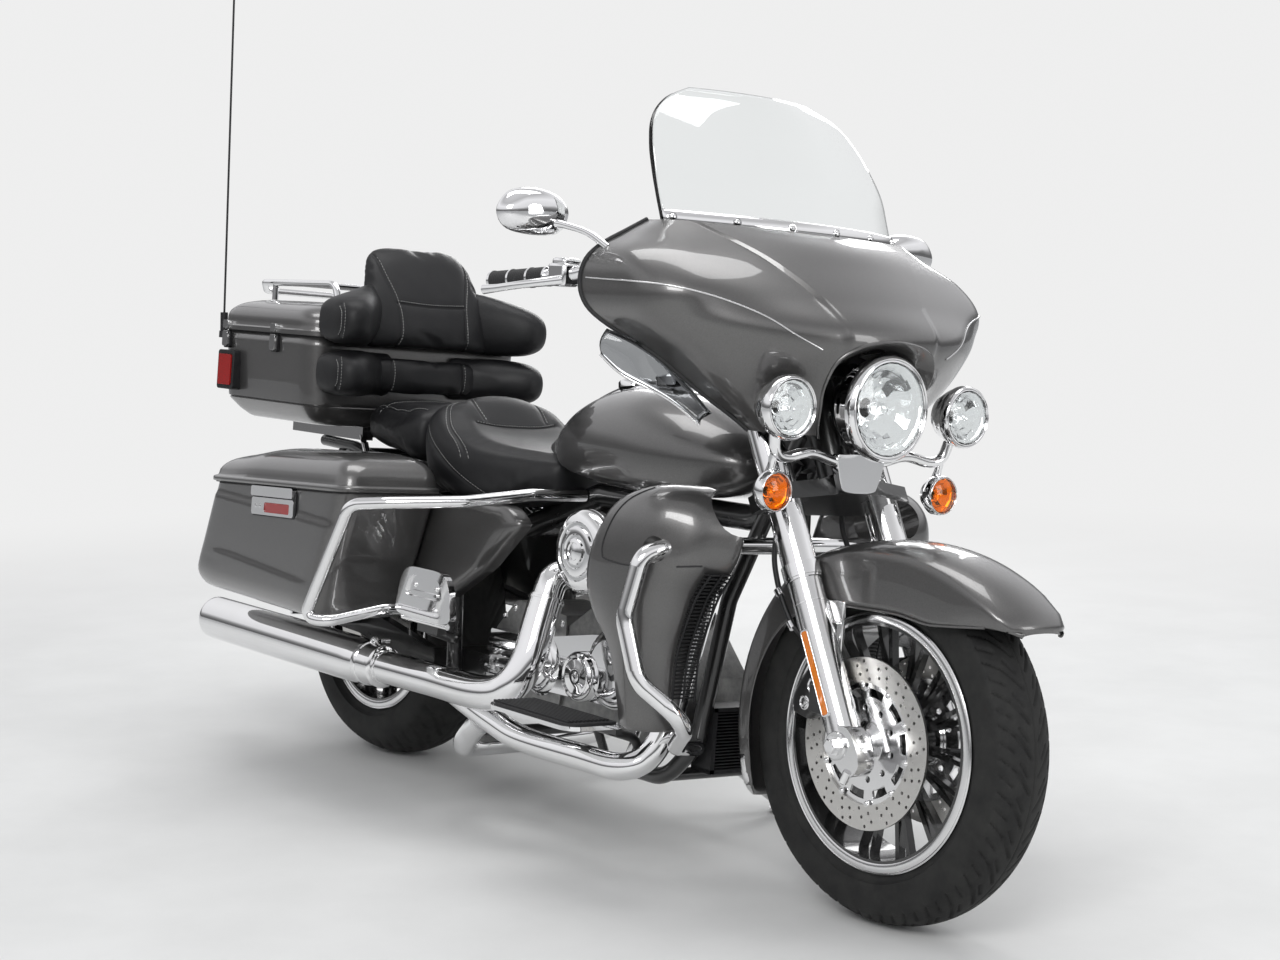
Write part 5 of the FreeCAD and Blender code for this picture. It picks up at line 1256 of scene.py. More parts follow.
def fork_details():
    middle = on_fork(436, -149)

    def on_leg(a, b, level):
        return tuple(middle + LEG_AHEAD * a + LEG_LINE * b + Vector((0, -level, 0)))

    outline = rounded((-9.5, 9.5), (-79, 79), 6, 5)
    opening = rounded((-7, 7), (-76, 76), 4, 5)
    bezel = plate([outline, opening], -2, 5.2, on_leg)
    lens = plate([opening], -2, 4.4, on_leg)
    piece("reflector_bezels", "steering", CHROME, both_sides(bezel), 30, bevel=0.7)
    piece("reflector_lenses", "steering", AMBER, both_sides(lens), 30, bevel=0.6)
    foot = [(1584, 334), (1590, 350), (1612, 356), (1640, 350), (1664, 318), (1668, 290), (1650, 272),
            (1630, 276), (1612, 290), (1594, 300), (1584, 316)]
    clamp = side_plate([smooth_closed(foot, 4)], 108, 147)
    collar = turned([(0, 0), (0, 25), (10, 25), (12, 23), (12, 0)], (FRONT_AXLE, -140, TYRE_RADIUS),
                    RIGHTWARD, 40)
    piece("axle_feet", "steering", POLISHED, both_sides(joined(clamp, collar)), 40, bevel=3)
    nut = turned([(0, 0), (0, 17), (2, 18), (3, 18), (3, 14), (13, 13.5), (15, 11), (15, 0)],
                 (FRONT_AXLE, -151, TYRE_RADIUS), RIGHTWARD, 6)
    pinch = turned([(0, 0), (0, 8), (22, 8), (24, 6), (24, 0)], (1646, -146, 281), (-0.5, 0, -1), 20)
    piece("axle_nuts", "steering", CHROME, both_sides(joined(nut, pinch)), 40)
    rings = [uncapped(turned(profile, on_fork(z, -120), tuple(LEG_LINE), 48))
             for z, profile in ((588, [(-3, 31.5), (-2, 33.6), (2, 33.6), (3, 31.5)]),
                                (548, [(-1.5, 31), (-1, 31.8), (1, 31.8), (1.5, 31)]))]
    piece("fork_rings", "steering", CHROME, both_sides(joined(*rings)), 50)


def front_calipers():
    body = joined(arc_body((124, 168), (104, 170), (-112, -83), 9),
                  arc_body((128, 164), (110, 166), (-72, -58), 6),
                  arc_body((130, 162), (153, 172), (-106, -62), 6),
                  brick((1508, 1560), (-121, -98), (360, 408)))
    piece("caliper_bodies", "steering", BLACK_FRAME, both_sides(body), 40, bevel=1.6,
          replaces=("front_calipers",))
    faces = []
    for angle, radius, size in ((141, 134, 15), (157, 134, 13)):
        turn = math.radians(angle)
        at = (FRONT_AXLE + radius * math.cos(turn), -112, TYRE_RADIUS + radius * math.sin(turn))
        faces.append(turned([(-2, 0), (-2, size), (2, size), (3, size - 2), (1.5, size - 4),
                             (2.4, size - 8), (2.4, 0)], at, RIGHTWARD, 32))
    for angle in (128, 149, 165):
        turn = math.radians(angle)
        at = (FRONT_AXLE + 160 * math.cos(turn), -106, TYRE_RADIUS + 160 * math.sin(turn))
        faces.append(dome_bolt(at, RIGHTWARD, 5, 5))
    piece("caliper_faces", "steering", POLISHED, both_sides(joined(*faces)), 40)
    ends = [turned([(-7, 0), (-7, 8), (7, 8), (7, 0)], at, axis, 20)
            for at, axis in (((1492, -98, 436), (0, 0, 1)), ((1396, -108, 555), (1, 0, -1)),
                             ((1436, -108, 502), (1, 0, -1)))]
    piece("hose_fittings", "steering", CHROME, both_sides(joined(*ends)), 40)


fork_details()
front_calipers()

# Tank and console

# x, half width, low z, high z, belly z
TANK = (
    (566, 30, 742, 768, 752), (600, 46, 728, 792, 750), (640, 70, 716, 822, 752), (700, 100, 706, 853, 760),
    (780, 127, 699, 882, 768), (850, 143, 695, 895, 770), (940, 154, 693, 902, 770),
    (1010, 157, 693, 897, 768), (1080, 151, 696, 882, 768), (1130, 141, 701, 864, 768),
    (1190, 118, 713, 835, 770), (1230, 92, 731, 806, 770), (1246, 64, 746, 790, 770),
)


def tank_ring(x):
    half, low, high, belly = [spread(x, TANK, k) for k in (1, 2, 3, 4)]
    ring = []
    for step in range(25):
        angle = math.pi * step / 24
        y = half * math.copysign(abs(math.cos(angle)) ** 0.82, math.cos(angle))
        ring.append((x, y, belly + (high - belly) * math.sin(angle) ** 0.88))
    for step in range(1, 16):
        angle = math.pi * step / 16
        y = -half * (0.97 * math.copysign(abs(math.cos(angle)) ** 0.42, math.cos(angle)))
        ring.append((x, y, belly - (belly - low) * math.sin(angle) ** 0.62))
    return ring


# The fuel gauge's place and axis
GAUGE = ((930, 0, 914), (-0.08, 0, 1))


def tank():
    xs = [566, 574, 586] + list(np.linspace(600, 1230, 44)) + [1238, 1246]
    piece("tank_shell", "root", PAINT, skinned([tank_ring(x) for x in xs]), 50,
          replaces=("fuel_tank",))
    top = [(x, spread(x, TANK, 3)) for x in np.linspace(634, 1052, 30)]

    def console(grow, lift, start, end):
        rings = []
        for x, z in top[start:end]:
            t = (x - 634) / 418
            half = (30 + 12 * math.sin(math.pi * min(t * 1.1, 1)) ** 0.6) + grow
            rings.append([(x, y * half, z + lift * (1 - abs(y) ** 4) - 6 * abs(y) ** 2 - 3)
                          for y in np.linspace(-1, 1, 17)] + [(x, half * y, z - 14) for y in (1, 0, -1)])
        return skinned(rings)

    piece("console_trim", "root", CHROME, console(0, 12, 0, 30), 40, bevel=1.5, replaces=("tank_console",),
          slot_name="charcoal_paint")
    piece("console_panel", "root", BLACK_PLASTIC, console(-7, 17, 3, 27), 40, bevel=1)
    cap = turned([(-6, 0), (-6, 36), (4, 36), (8, 33), (10, 27), (9, 24), (11, 20), (12, 0)], (800, 0, 900),
                 (-0.16, 0, 1), 48)
    gauge = turned([(-8, 0), (-8, 42), (8, 42), (11, 39), (9, 36), (8, 35)], *GAUGE, 48)
    piece("filler_cap", "root", CHROME, joined(cap, (gauge[0], gauge[1][:-1])), 40)
    piece("gauge_face", "root", BLACK_PLASTIC, turned([(0, 0), (0, 36), (4, 36), (4, 0)],
          *GAUGE, 48), 40)


tank()

# Saddlebags, their lids and latches

# The seam between bag and lid: (x, z) of its rear and front end
SEAM = ((-222, 601), (418, 634))
SEAM_SLOPE = (SEAM[1][1] - SEAM[0][1]) / (SEAM[1][0] - SEAM[0][0])
BAG_TOP = SEAM[0][1]
# z, rear x, front x, rear outer y, front outer y, inner y, corner radius
BAG = (
    (352, -262, 268, -350, -384, -214, 26), (355, -276, 282, -362, -396, -206, 32),
    (364, -292, 298, -376, -410, -198, 38), (380, -304, 309, -386, -422, -192, 42),
    (400, -308, 315, -389, -426, -190, 44), (470, -279, 347, -391, -429, -190, 44),
    (560, -242, 388, -393, -432, -190, 44), (601, -225, 406, -394, -434, -190, 44),
)
# Height over the seam, rear x, front x, rear outer y, front outer y, inner y, corner radius
LID = (
    (1.5, -236, 430, -404, -446, -194, 48), (3, -238, 432, -406, -448, -193, 50),
    (11, -238, 432, -406, -448, -193, 50), (13, -236, 430, -404, -446, -194, 48),
    (15, -230, 424, -398, -440, -197, 46), (34, -226, 420, -395, -437, -199, 46),
    (52, -215, 409, -386, -428, -205, 46), (66, -198, 392, -370, -412, -214, 46),
    (76, -172, 366, -346, -388, -230, 44), (82, -136, 328, -316, -354, -252, 36),
    (84, -90, 280, -292, -320, -270, 14),
)


def corner_ring(corners, radius, steps=6, straight=10):
    """A closed outline through (a, b) corners, each one rounded, with points along the sides too."""
    ring = []
    count = len(corners)
    for number, corner_at in enumerate(corners):
        corner = Vector(corner_at)
        before, after = Vector(corners[number - 1]), Vector(corners[(number + 1) % count])
        start = corner + (before - corner).normalized() * radius
        end = corner + (after - corner).normalized() * radius
        ring += [start * (1 - t) ** 2 + corner * 2 * t * (1 - t) + end * t ** 2
                 for t in np.linspace(0, 1, steps + 1)]
        meet = after + (corner - after).normalized() * radius
        ring += [end.lerp(meet, k / straight) for k in range(1, straight)]
    return ring


def hollow(shape, open_top):
    """The same shell without its last cap, or without its first one."""
    points, faces = shape
    return points, faces[:-1] if open_top else faces[:-2] + faces[-1:]


def seam_rise(x):
    """How far the seam between bag and lid has risen at a place along it."""
    return SEAM_SLOPE * (x - SEAM[0][0])


def bag_outline(row, steps=6, straight=14):
    rear, front, rear_out, front_out, inner, radius = row
    return corner_ring([(rear, inner), (rear, rear_out), (front, front_out), (front, inner)], radius, steps,
                       straight)


def bag_relief(x, z, y):
    """The pressed lines of a bag's outer side: a step under the latch and a raised foot."""
    if y > -340:
        return 0
    crease = 566 - 0.055 * (x + 200)
    step = 3.2 * bump(max(z, crease), crease, 16) if z < 640 else 0
    arch = 452 - 0.05 * (x + 120) - 90 * max(0, (-150 - x) / 110) ** 2.2
    foot = 2.2 * (1 - bump(min(z - arch, 0), 0, 12)) if x < 250 else 0
    return step + foot


def saddlebag(side):
    rings = []
    for z in (352, 355, 359, 364, 371, 380, 390) + tuple(np.linspace(400, BAG_TOP, 42)):
        values = [spread(z, BAG, k) for k in range(1, 7)]
        share = max(0, (z - 400) / (BAG_TOP - 400)) ** 1.3
        rings.append([(x, y - bag_relief(x, z, y), z + seam_rise(x) * share)
                      for x, y in bag_outline(values)])
    shape = hollow(skinned(rings), True)
    lid_rings = []
    for height in (1.5, 3, 7, 11, 13, 15, 22, 34, 43, 52, 60, 66, 71, 76, 79, 82, 83.3, 84):
        values = [spread(height, LID, k) for k in range(1, 7)]
        ring = []
        for x, y in bag_outline(values, 8, 12):
            low = bump(min(x, 20), 20, 190)
            crown = height * (0.80 + 0.20 * low) if height > 15 else height
            ring.append((x, y, BAG_TOP + crown + seam_rise(x)))
        lid_rings.append(ring)
    lid = hollow(skinned(lid_rings), False)
    piece("bag_shell_" + side, "root", PAINT, sided(side, shape), 50,
          thick=3.5, replaces=("saddlebag_" + side,))
    piece("bag_lid_" + side, "saddlebag_lid_" + side, PAINT, sided(side, lid), 50,
          thick=3, replaces=("saddlebag_lid_" + side,))
    gasket = skinned([[(x, y, z + seam_rise(x))
                       for x, y in bag_outline((-232, 426, -400, -441, -193, 46), 6, 6)]
                      for z in (600, 603)], ends=False)
    piece("bag_gasket_" + side, "saddlebag_lid_" + side, RUBBER, sided(side, gasket), 50,
          thick=6)

    def on_side(a, b, level):
        return (a, -400.5 - 0.062 * (a + 100) - level, b + 0.0515 * (a + 100))

    base = plate([rounded((-9, 204), (540, 598), 9)], -6, 5, on_side)
    lever = plate([rounded((-4, 199), (584, 606), 6)], 3, 13, on_side)
    frame_plate = plate([rounded((-5, 200), (543, 581), 7), rounded((58, 180), (549, 571), 4)], 4, 9, on_side)
    lens = plate([rounded((58, 180), (549, 571), 4)], 4, 7, on_side)
    screws = [dome_bolt(on_side(a, 562, 8), RIGHTWARD, 5, 2) for a in (18, 38)]
    for name, part, look in (("latch_plates", base, BLACK_PLASTIC),
                             ("latch_chrome", joined(lever, frame_plate, *screws), CHROME),
                             ("latch_reflector", lens, RED)):
        piece(name + "_" + side, "root", look, sided(side, part), 40, bevel=1.6)


for bag_side in SIDES:
    saddlebag(bag_side)

# Top case

# z, rear x, front x, half width, corner radius
CASE = (
    (746, -394, -50, 226, 40), (750, -402, -42, 236, 46), (764, -418, -28, 254, 50),
    (784, -434, -20, 272, 54), (788, -436, -19, 275, 54), (790.5, -434, -20, 272, 53),
    (793, -438, -18, 277, 55), (860, -444, -18, 281, 57), (944, -450, -18, 285, 58),
)
CASE_LID = (
    (946, -452, -16, 287, 58), (947, -456, -13, 290.5, 60), (957, -456, -13, 290.5, 60),
    (960, -452, -16, 287, 58), (985, -450, -18, 285, 60), (998, -443, -26, 278, 62),
    (1010, -428, -42, 262, 62), (1018, -404, -66, 238, 60), (1024, -362, -106, 200, 50),
    (1025.5, -300, -160, 150, 30),
)


def case_rings(table, heights):
    rings = []
    for z in heights:
        rear, front, half, radius = [spread(z, table, k) for k in (1, 2, 3, 4)]
        rings.append([(x, y, z)
                      for x, y in corner_ring([(rear, half), (rear, -half), (front, -half), (front, half)],
                                              radius, 8, 8)])
    return rings


def top_case():
    heights = [row[0] for row in CASE[:-2]] + list(np.linspace(800, 944, 8))
    piece("case_shell", "root", PAINT, hollow(skinned(case_rings(CASE, heights)), True), 40,
          thick=4, replaces=("case_body",))
    heights = [row[0] for row in CASE_LID[:4]] + list(np.linspace(966, 1025.5, 22))
    piece("case_cover", "case_lid", PAINT, hollow(skinned(case_rings(CASE_LID, heights)), False), 40,
          thick=3.5, replaces=("case_lid",))
    band = case_rings(((940, -449, -18, 284, 58), (947, -449, -18, 284, 58)), (940, 947))
    piece("case_gasket", "root", RUBBER, skinned(band, ends=False), 40, thick=5)

    plates, levers, hooks = [], [], []
    for x in (-404, -176):
        plates.append(side_plate([rounded((x - 15, x + 15), (903, 944), 7)], 284, 291))
        levers.append(side_plate([rounded((x - 12, x + 12), (907, 943), 6)], 290, 297))
        hooks.append(side_plate([rounded((x - 12, x + 12), (950, 968), 5)], 287, 297))
    opening = rounded((-416, -356), (816, 888), 5)
    lamp_frame = side_plate([rounded((-424, -346), (806, 898), 8), opening], 272, 300)
    lamp_lens = side_plate([opening], 284, 303)
    for name, body, look, part in (("case_latches", "root", BLACK_PLASTIC, joined(*plates)),
                                   ("case_latch_levers", "root", CHROME, joined(*levers)),
                                   ("case_latch_hooks", "case_lid", CHROME, joined(*hooks)),
                                   ("case_lamp_frames", "root", BLACK_PLASTIC, both_sides(lamp_frame)),
                                   ("case_lamp_lenses", "root", RED, both_sides(lamp_lens))):
        piece(name, body, look, part, 40, bevel=1.4)


top_case()

# Engine covers, air cleaner and exhaust

CRANK = Vector((925, 0, 345))
BANK_ANGLE = 22.5


def on_bank(shape, side):
    """Stands a shape that was made along Z from the crank on its cylinder bank."""
    return turned_about(moved(shape, CRANK), CRANK, (0, 1, 0), side * BANK_ANGLE)


def rocker_covers():
    parts, bolts = [], []
    for side in (1, -1):
        cover = joined(level_plate([rounded((-62, 62), (-104, 66), 22)], 250.2, 272),
                       level_plate([rounded((-55, 55), (-64, 62), 20)], 271, 286),
                       level_plate([rounded((-46, 46), (-54, 54), 16)], 285, 300))
        parts.append(on_bank(cover, side))
        bolts += [on_bank(dome_bolt((a, b, 272), (0, 0, 1), 6), side) for a in (-50, 50)
                  for b in (-88, -74, 0)]
        bolts += [on_bank(dome_bolt((a, b, 300), (0, 0, 1), 4.5), side) for a in (-30, 30) for b in (-36, 36)]
    piece("rocker_boxes", "root", CHROME, joined(*parts), 40, bevel=4, replaces=("rocker_covers",))
    piece("rocker_bolts", "root", POLISHED, joined(*bolts), 50)


def stepped_cover(at, axis, profile, steps=72):
    return turned([(0, 0)] + list(profile), at, axis, steps)


def engine_covers():
    cam = stepped_cover((930, -78.3, 342), RIGHTWARD, ((0, 82), (26, 82), (33, 77), (37, 70), (38, 62),
                                                       (44, 57), (45, 0)))
    nose = stepped_cover((846, -84, 314), RIGHTWARD, ((0, 50), (44, 50), (50, 47), (53, 42), (50, 38),
                                                      (52, 33), (51, 22), (53, 18), (52, 11), (54, 8),
                                                      (54, 0)))
    gear = stepped_cover((690, -84.3, 318), RIGHTWARD, ((0, 68), (24, 68), (31, 62), (34, 54), (31, 50),
                                                        (36, 44), (38, 0)))
    bridge = side_plate([[(690, 262), (930, 268), (930, 408), (860, 400), (690, 370)]], 84.3, 110)
    fins = [side_plate([rounded((506 + 3 * k, 634 + 2 * k), (258 + 19 * k, 270 + 19 * k), 5)], 84.3,
                       124 - abs(k - 2.4) * 2) for k in range(6)]
    block = side_plate([[(512, 262), (628, 258), (640, 330), (618, 362), (536, 366), (516, 320)]], 84.3, 114)
    piece("right_covers", "root", CHROME, joined(cam, nose, gear, bridge, block, *fins), 40, bevel=2,
          replaces=("engine_covers",))
    outline = [(560, 330), (575, 262), (640, 235), (705, 262), (880, 275), (945, 262), (1010, 345),
               (945, 428), (880, 415), (690, 398), (620, 405)]
    smooth = smooth_closed(outline, 4)
    primary = joined(mirrored(side_plate([smooth], 84.3, 136)),
                     mirrored(side_plate([[(775 + (a - 775) * 0.94, 330 + (b - 330) * 0.9)
                                           for a, b in smooth]], 130, 146)),
                     stepped_cover((930, 140, 345), (0, 1, 0), ((0, 62), (6, 62), (9, 58), (9, 0))),
                     stepped_cover((650, 140, 322), (0, 1, 0), ((0, 46), (6, 46), (9, 42), (9, 0))))
    piece("primary_cover", "root", CHROME, primary, 40, bevel=5)
    heads = []
    for x, level, z, radius, turns in ((930, -110, 342, 66, (0.6, 1.6, 2.6, 5.0, 5.9)),
                                       (690, -112, 318, 58, (1.2, 2.6, 4.2, 5.4))):
        heads += [dome_bolt((x + radius * math.cos(k), level, z + radius * math.sin(k)), RIGHTWARD, 4.5)
                  for k in turns]
    heads += [dome_bolt((a, -84, b), RIGHTWARD, 6)
              for a, b in ((520, 392), (556, 412), (612, 418), (668, 412), (724, 402), (518, 222))]
    heads += [dome_bolt((a, 136, b), (0, 1, 0), 5)
              for a, b in ((585, 290), (600, 380), (760, 282), (770, 392), (985, 300))]
    piece("cover_bolts", "root", POLISHED, joined(*heads), 50)


def air_cleaner():
    drum = stepped_cover((937, -180, 575), RIGHTWARD, ((0, 80), (2, 82), (14, 82), (16, 80), (18, 82),
                                                       (26, 81.5), (34, 78), (40, 71), (43, 62), (44, 58),
                                                       (42, 56), (42, 50), (46, 48), (48, 42), (48, 34),
                                                       (46, 32), (46, 27), (50, 25), (52, 18), (50, 16),
                                                       (52, 8), (53, 0)), 96)
    throat = joined(brick((892, 958), (-180, -62), (545, 600)), brick((914, 936), (-62, -10), (550, 590)))
    piece("cleaner_dome", "root", CHROME, drum, 30, replaces=("air_cleaner",))
    piece("cleaner_throat", "root", BLACK_PLASTIC, throat, 40, bevel=6)


MUFFLER_TIP = (-385, -280, 262)


def exhaust():
    can = turned([(70, 0), (70, 37), (8, 40), (1, 43), (-1, 45), (1, 48), (5, 49.6), (14, 50), (640, 50),
                  (668, 48.5), (696, 44), (712, 42), (714, 40), (760, 36), (760, 0)], MUFFLER_TIP,
                 (1, 0, 0), 72)
    collar = turned([(690, 40), (690, 46), (692, 47.5), (704, 47.5), (706, 45), (740, 43), (742, 45),
                     (752, 45), (754, 42), (756, 34)], MUFFLER_TIP, (1, 0, 0), 64)
    clamp = joined(piped([(318, -280, 310), (330, -280, 316), (342, -280, 311)], 7, 12, 4),
                   turned([(-14, 0), (-14, 6), (14, 6), (14, 0)], (330, -262, 312), (0, 1, 0), 16))
    rear = piped([(360, -280, 262), (560, -280, 265), (735, -280, 268), (802, -263, 290), (825, -236, 345),
                  (819, -206, 440), (816, -182, 505), (822, -130, 519), (824, -70, 520)], 31, 28, 8)
    shield = piped([(376, -281, 263), (560, -281, 266), (735, -281, 269), (800, -264, 290), (824, -239, 343),
                    (820, -212, 425), (817, -197, 470)], 35, 32, 8)
    lips = [uncapped(turned([(-3, 34), (-2, 37), (2, 37), (3, 34)], at, axis, 40))
            for at, axis in (((380, -281, 263), (1, 0, 0)), ((817.5, -199, 464), (-0.08, 0.32, 0.95)))]
    front = piped([(1105, -60, 560), (1148, -76, 548), (1164, -92, 500), (1162, -120, 380),
                   (1157, -150, 270), (1144, -178, 212), (1104, -210, 188), (1000, -218, 186),
                   (810, -226, 187), (720, -248, 214), (620, -276, 258)], 26, 24, 8)
    piece("right_exhaust", "root", CHROME,
          joined(can, uncapped(collar), clamp, rear, shield, front, *lips), 40,
          replaces=("exhaust_right",))
    cross = piped([(350, 280, 262), (440, 280, 246), (505, 240, 160), (522, 180, 131), (540, 0, 125),
                   (548, -160, 123), (600, -220, 140), (650, -238, 176), (690, -246, 200)], 24, 20, 8)
    piece("left_exhaust", "root", CHROME,
          joined(mirrored(can), mirrored(uncapped(collar)), mirrored(clamp), cross), 40,
          replaces=("exhaust_left",))
    dark = turned([(50, 0), (50, 39), (52, 39), (52, 0)], MUFFLER_TIP, (1, 0, 0), 48)
    piece("muffler_throats", "root", BLACK_PLASTIC, both_sides(dark), 40, slot_name="black_frame_paint")


rocker_covers()
engine_covers()
air_cleaner()
exhaust()

# Lower fairings with their lockers, grilles and scoops

# z, rear x, ridge x, front x, outer y, inner y
LOWER = (
    (290, 1222, 1262, 1294, -316, -246), (296, 1216, 1264, 1300, -322, -240),
    (340, 1212, 1268, 1304, -331, -236), (430, 1190, 1266, 1308, -342, -226),
    (491, 1138, 1266, 1328, -348, -216), (544, 1115, 1272, 1352, -350, -208),
    (600, 1120, 1290, 1394, -350, -202), (650, 1141, 1300, 1402, -346, -194),
    (690, 1166, 1306, 1390, -338, -190), (716, 1202, 1300, 1364, -322, -196),
    (731, 1240, 1290, 1334, -298, -208), (736, 1262, 1284, 1314, -276, -222),
)


# The locker's seam in each lower fairing, as (x, z)
LOCKER_LINES = (
    ((1262, 728), (1222, 702), (1192, 664), (1176, 622), (1178, 600), (1188, 592), (1240, 588)),
    ((1240, 588), (1290, 590)), ((1345, 596), (1372, 600)),
)


def swept_ring(middle, axis, reach, radius, steps=48):
    """A ring turned about an axis, to cut away what swings past."""
    axis, side, over = basis(axis)
    rings = []
    for number in range(steps):
        turn = 2 * math.pi * number / steps
        outward = side * math.cos(turn) + over * math.sin(turn)
        rings.append([Vector(middle) + outward * (reach + radius * math.cos(2 * math.pi * k / 24))
                      + axis * radius * math.sin(2 * math.pi * k / 24) for k in range(24)])
    return skinned(rings + rings[:1], ends=False)


def laid_line(thing, points, direction, radius):
    """A fine tube along a piece's surface, where points dropped in a direction meet it."""
    thing.data.update()
    tree = mathutils.bvhtree.BVHTree.FromPolygons([UPRIGHT @ item.co for item in thing.data.vertices],
                                                  [tuple(face.vertices) for face in thing.data.polygons])
    found = []
    for point in smooth_line(points, 6):
        hit = tree.ray_cast(point - Vector(direction) * 200, Vector(direction), 400)[0]
        if hit:
            found.append(hit)
    return piped([tuple(item) for item in found], radius, 8, 1)


def lower_fairings():
    rings = []
    for z in (290, 293, 296, 310) + tuple(np.linspace(330, 716, 44)) + (722, 727, 731, 734, 736):
        rear, ridge, front, outer, inner = [spread(z, LOWER, k) for k in range(1, 6)]
        ring = corner_ring([(rear, inner), (rear, outer + 10), (rear + (ridge - rear) * 0.5, outer),
                            (ridge, outer),
                            (front - (front - ridge) * 0.28, outer + (inner - outer) * 0.36),
                            (front, inner)], min(26, (ridge - rear) * 0.3), 5, 5)
        rings.append([(x, y, z) for x, y in ring])
    shape = skinned(rings)
    rake = math.radians(26)
    stem_line = Vector((-math.sin(rake), 0, math.cos(rake)))
    stem = Vector((1627 - (743 - TYRE_RADIUS) * math.tan(rake), 0, 743))
    signal = Vector((1458, -207, 743))
    foot = stem + stem_line * (signal - stem).dot(stem_line)
    scoop = swept_ring(foot, stem_line, (signal - foot).length, 53)
    recess = turned([(-30, 0), (-27, 16), (-15, 27), (0, 31), (15, 27), (27, 16), (30, 0)],
                    (1320, -352, 622), (0, 1, 0), 32)
    for side, inward in (("right", 1), ("left", -1)):
        keep = ("lower_fairings",) if side == "right" else ()
        thing = piece("lower_" + side, "root", PAINT, sided(side, shape), 45, replaces=keep)
        carved(thing, scoop, sided(side, recess))
        lines = [laid_line(thing, [(x, -inward * 300, z) for x, z in line], (0, inward, 0), 1.7)
                 for line in LOCKER_LINES]
        piece("locker_seam_" + side, "root", RUBBER, joined(*lines), 60)
        slats = [brick((spread(z, LOWER, 3) - 5 - 0.10 * (z - 410), spread(z, LOWER, 3) + 1.5),
                       (-262, -214), (z, z + 3)) for z in range(352, 585, 7)]
        posts = [piped([(spread(z, LOWER, 3) + 2, y, z) for z in range(346, 592, 12)], 2.2, 8, 2)
                 for y in (-264, -238, -212)]
        piece("grille_" + side, "root", BLACK_PLASTIC, sided(side, joined(*slats, *posts)), 40)


def oil_cooler():
    frame_part = joined(brick((1172, 1228), (-94, -84), (190, 315)),
                        brick((1172, 1228), (84, 94), (190, 315)),
                        brick((1172, 1228), (-94, 94), (190, 198)),
                        brick((1172, 1228), (-94, 94), (307, 315)),
                        brick((1172, 1205), (-90, 90), (196, 310)))
    fins = [brick((1200, 1224), (-86, 86), (z, z + 2.4)) for z in range(200, 306, 6)]
    piece("cooler_core", "root", BLACK_PLASTIC, joined(frame_part, *fins), 40, replaces=("oil_cooler",))


lower_fairings()
oil_cooler()

# Boards, side covers and rear lamps


def rider_board(side):
    outline = [(900, -268), (1180, -268), (1180, -380), (1160, -396), (930, -396), (900, -370)]
    tray = level_plate([corner_ring(outline, 14, 4, 2)], 276, 284)
    rod = piped([(935, -269, 279), (1040, -269, 279), (1145, -269, 279)], 6, 14, 2)
    inner = [(908, -276), (1172, -276), (1172, -376), (1156, -389), (934, -389), (908, -366)]
    pad_part = level_plate([corner_ring(inner, 10, 4, 2)], 283.5, 288)
    ribs = [brick((922, 1158), (y - 2.2, y + 2.2), (287, 291.8)) for y in range(-380, -282, 9)]
    piece("board_tray_" + side, "rider_board_" + side, CHROME, sided(side, joined(tray, rod)), 40, bevel=1.5,
          replaces=("rider_board_" + side,))
    piece("board_rubber_" + side, "rider_board_" + side, RUBBER, sided(side, joined(pad_part, *ribs)), 40,
          bevel=1)


def passenger_board(side):
    outline = smooth_closed([(458, 394), (552, 390), (646, 394), (650, 430), (640, 470), (612, 491),
                             (552, 494), (494, 491), (466, 470), (456, 430)], 4)
    recess = smooth_closed([(488, 436), (552, 434), (616, 436), (612, 462), (596, 476), (552, 478),
                            (508, 476), (492, 462)], 4)
    back = side_plate([outline], 300, 309)
    front = side_plate([outline, recess], 308, 315)
    rod = piped([(470, -306, 385), (552, -306, 385), (635, -306, 385)], 6, 14, 2)
    bolts = [dome_bolt((a, -309, 457), RIGHTWARD, 5.5) for a in (512, 592)]
    bar = side_plate([rounded((506, 598), (440, 446), 2)], 308, 313)
    piece("passenger_plate_" + side, "passenger_board_" + side, CHROME,
          sided(side, joined(back, front, rod, bar, *bolts)), 40, bevel=1.8,
          replaces=("passenger_board_" + side,))


def side_covers():
    outline = [(262, 412), (429, 412), (570, 494), (690, 600), (640, 632), (368, 632), (282, 520)]
    ring = corner_ring(outline, 20, 5, 12)
    centre = Vector((440, 540))
    rings = [[(a, -150, b) for a, b in ring], [(a, -172, b) for a, b in ring]]
    for grow, out in ((0.99, 178), (0.96, 182.5), (0.90, 186), (0.78, 189), (0.6, 191), (0.35, 192),
                      (0.08, 192)):
        rings.append([(centre.x + (a - centre.x) * grow, -out, centre.y + (b - centre.y) * grow)
                      for a, b in ring])
    piece("side_panels", "root", PAINT, both_sides(skinned(rings)), 40, replaces=("side_covers",))


def rear_lamps():
    tail = brick((-398, -322), (-62, 62), (425, 505))
    holder = brick((-374, -366), (-90, 90), (268, 398))
    stem = brick((-385, -340), (-30, 30), (396, 430))
    bar = piped([(-366, -150, 400), (-366, 0, 400), (-366, 150, 400)], 9, 16, 2)
    shells = both_sides(turned([(0, 0), (0, 12), (12, 26), (30, 30), (56, 30), (56, 0)], (-340, -150, 400),
                               (-1, 0, 0), 40))
    lens = both_sides(turned([(54, 29), (58, 27), (63, 18), (65, 0)], (-335, -150, 400), (-1, 0, 0), 40))
    piece("tail_housing", "root", CHROME, joined(tail, holder, stem, bar, shells), 40, bevel=3,
          replaces=("rear_lamps",))
    piece("tail_lens", "root", RED, brick((-404, -396), (-56, 56), (431, 499)), 40, bevel=4)
    piece("signal_lenses", "root", RED, lens, 40)


for board_side in SIDES:
    rider_board(board_side)
    passenger_board(board_side)
side_covers()
rear_lamps()

# Mirrors, bars and controls

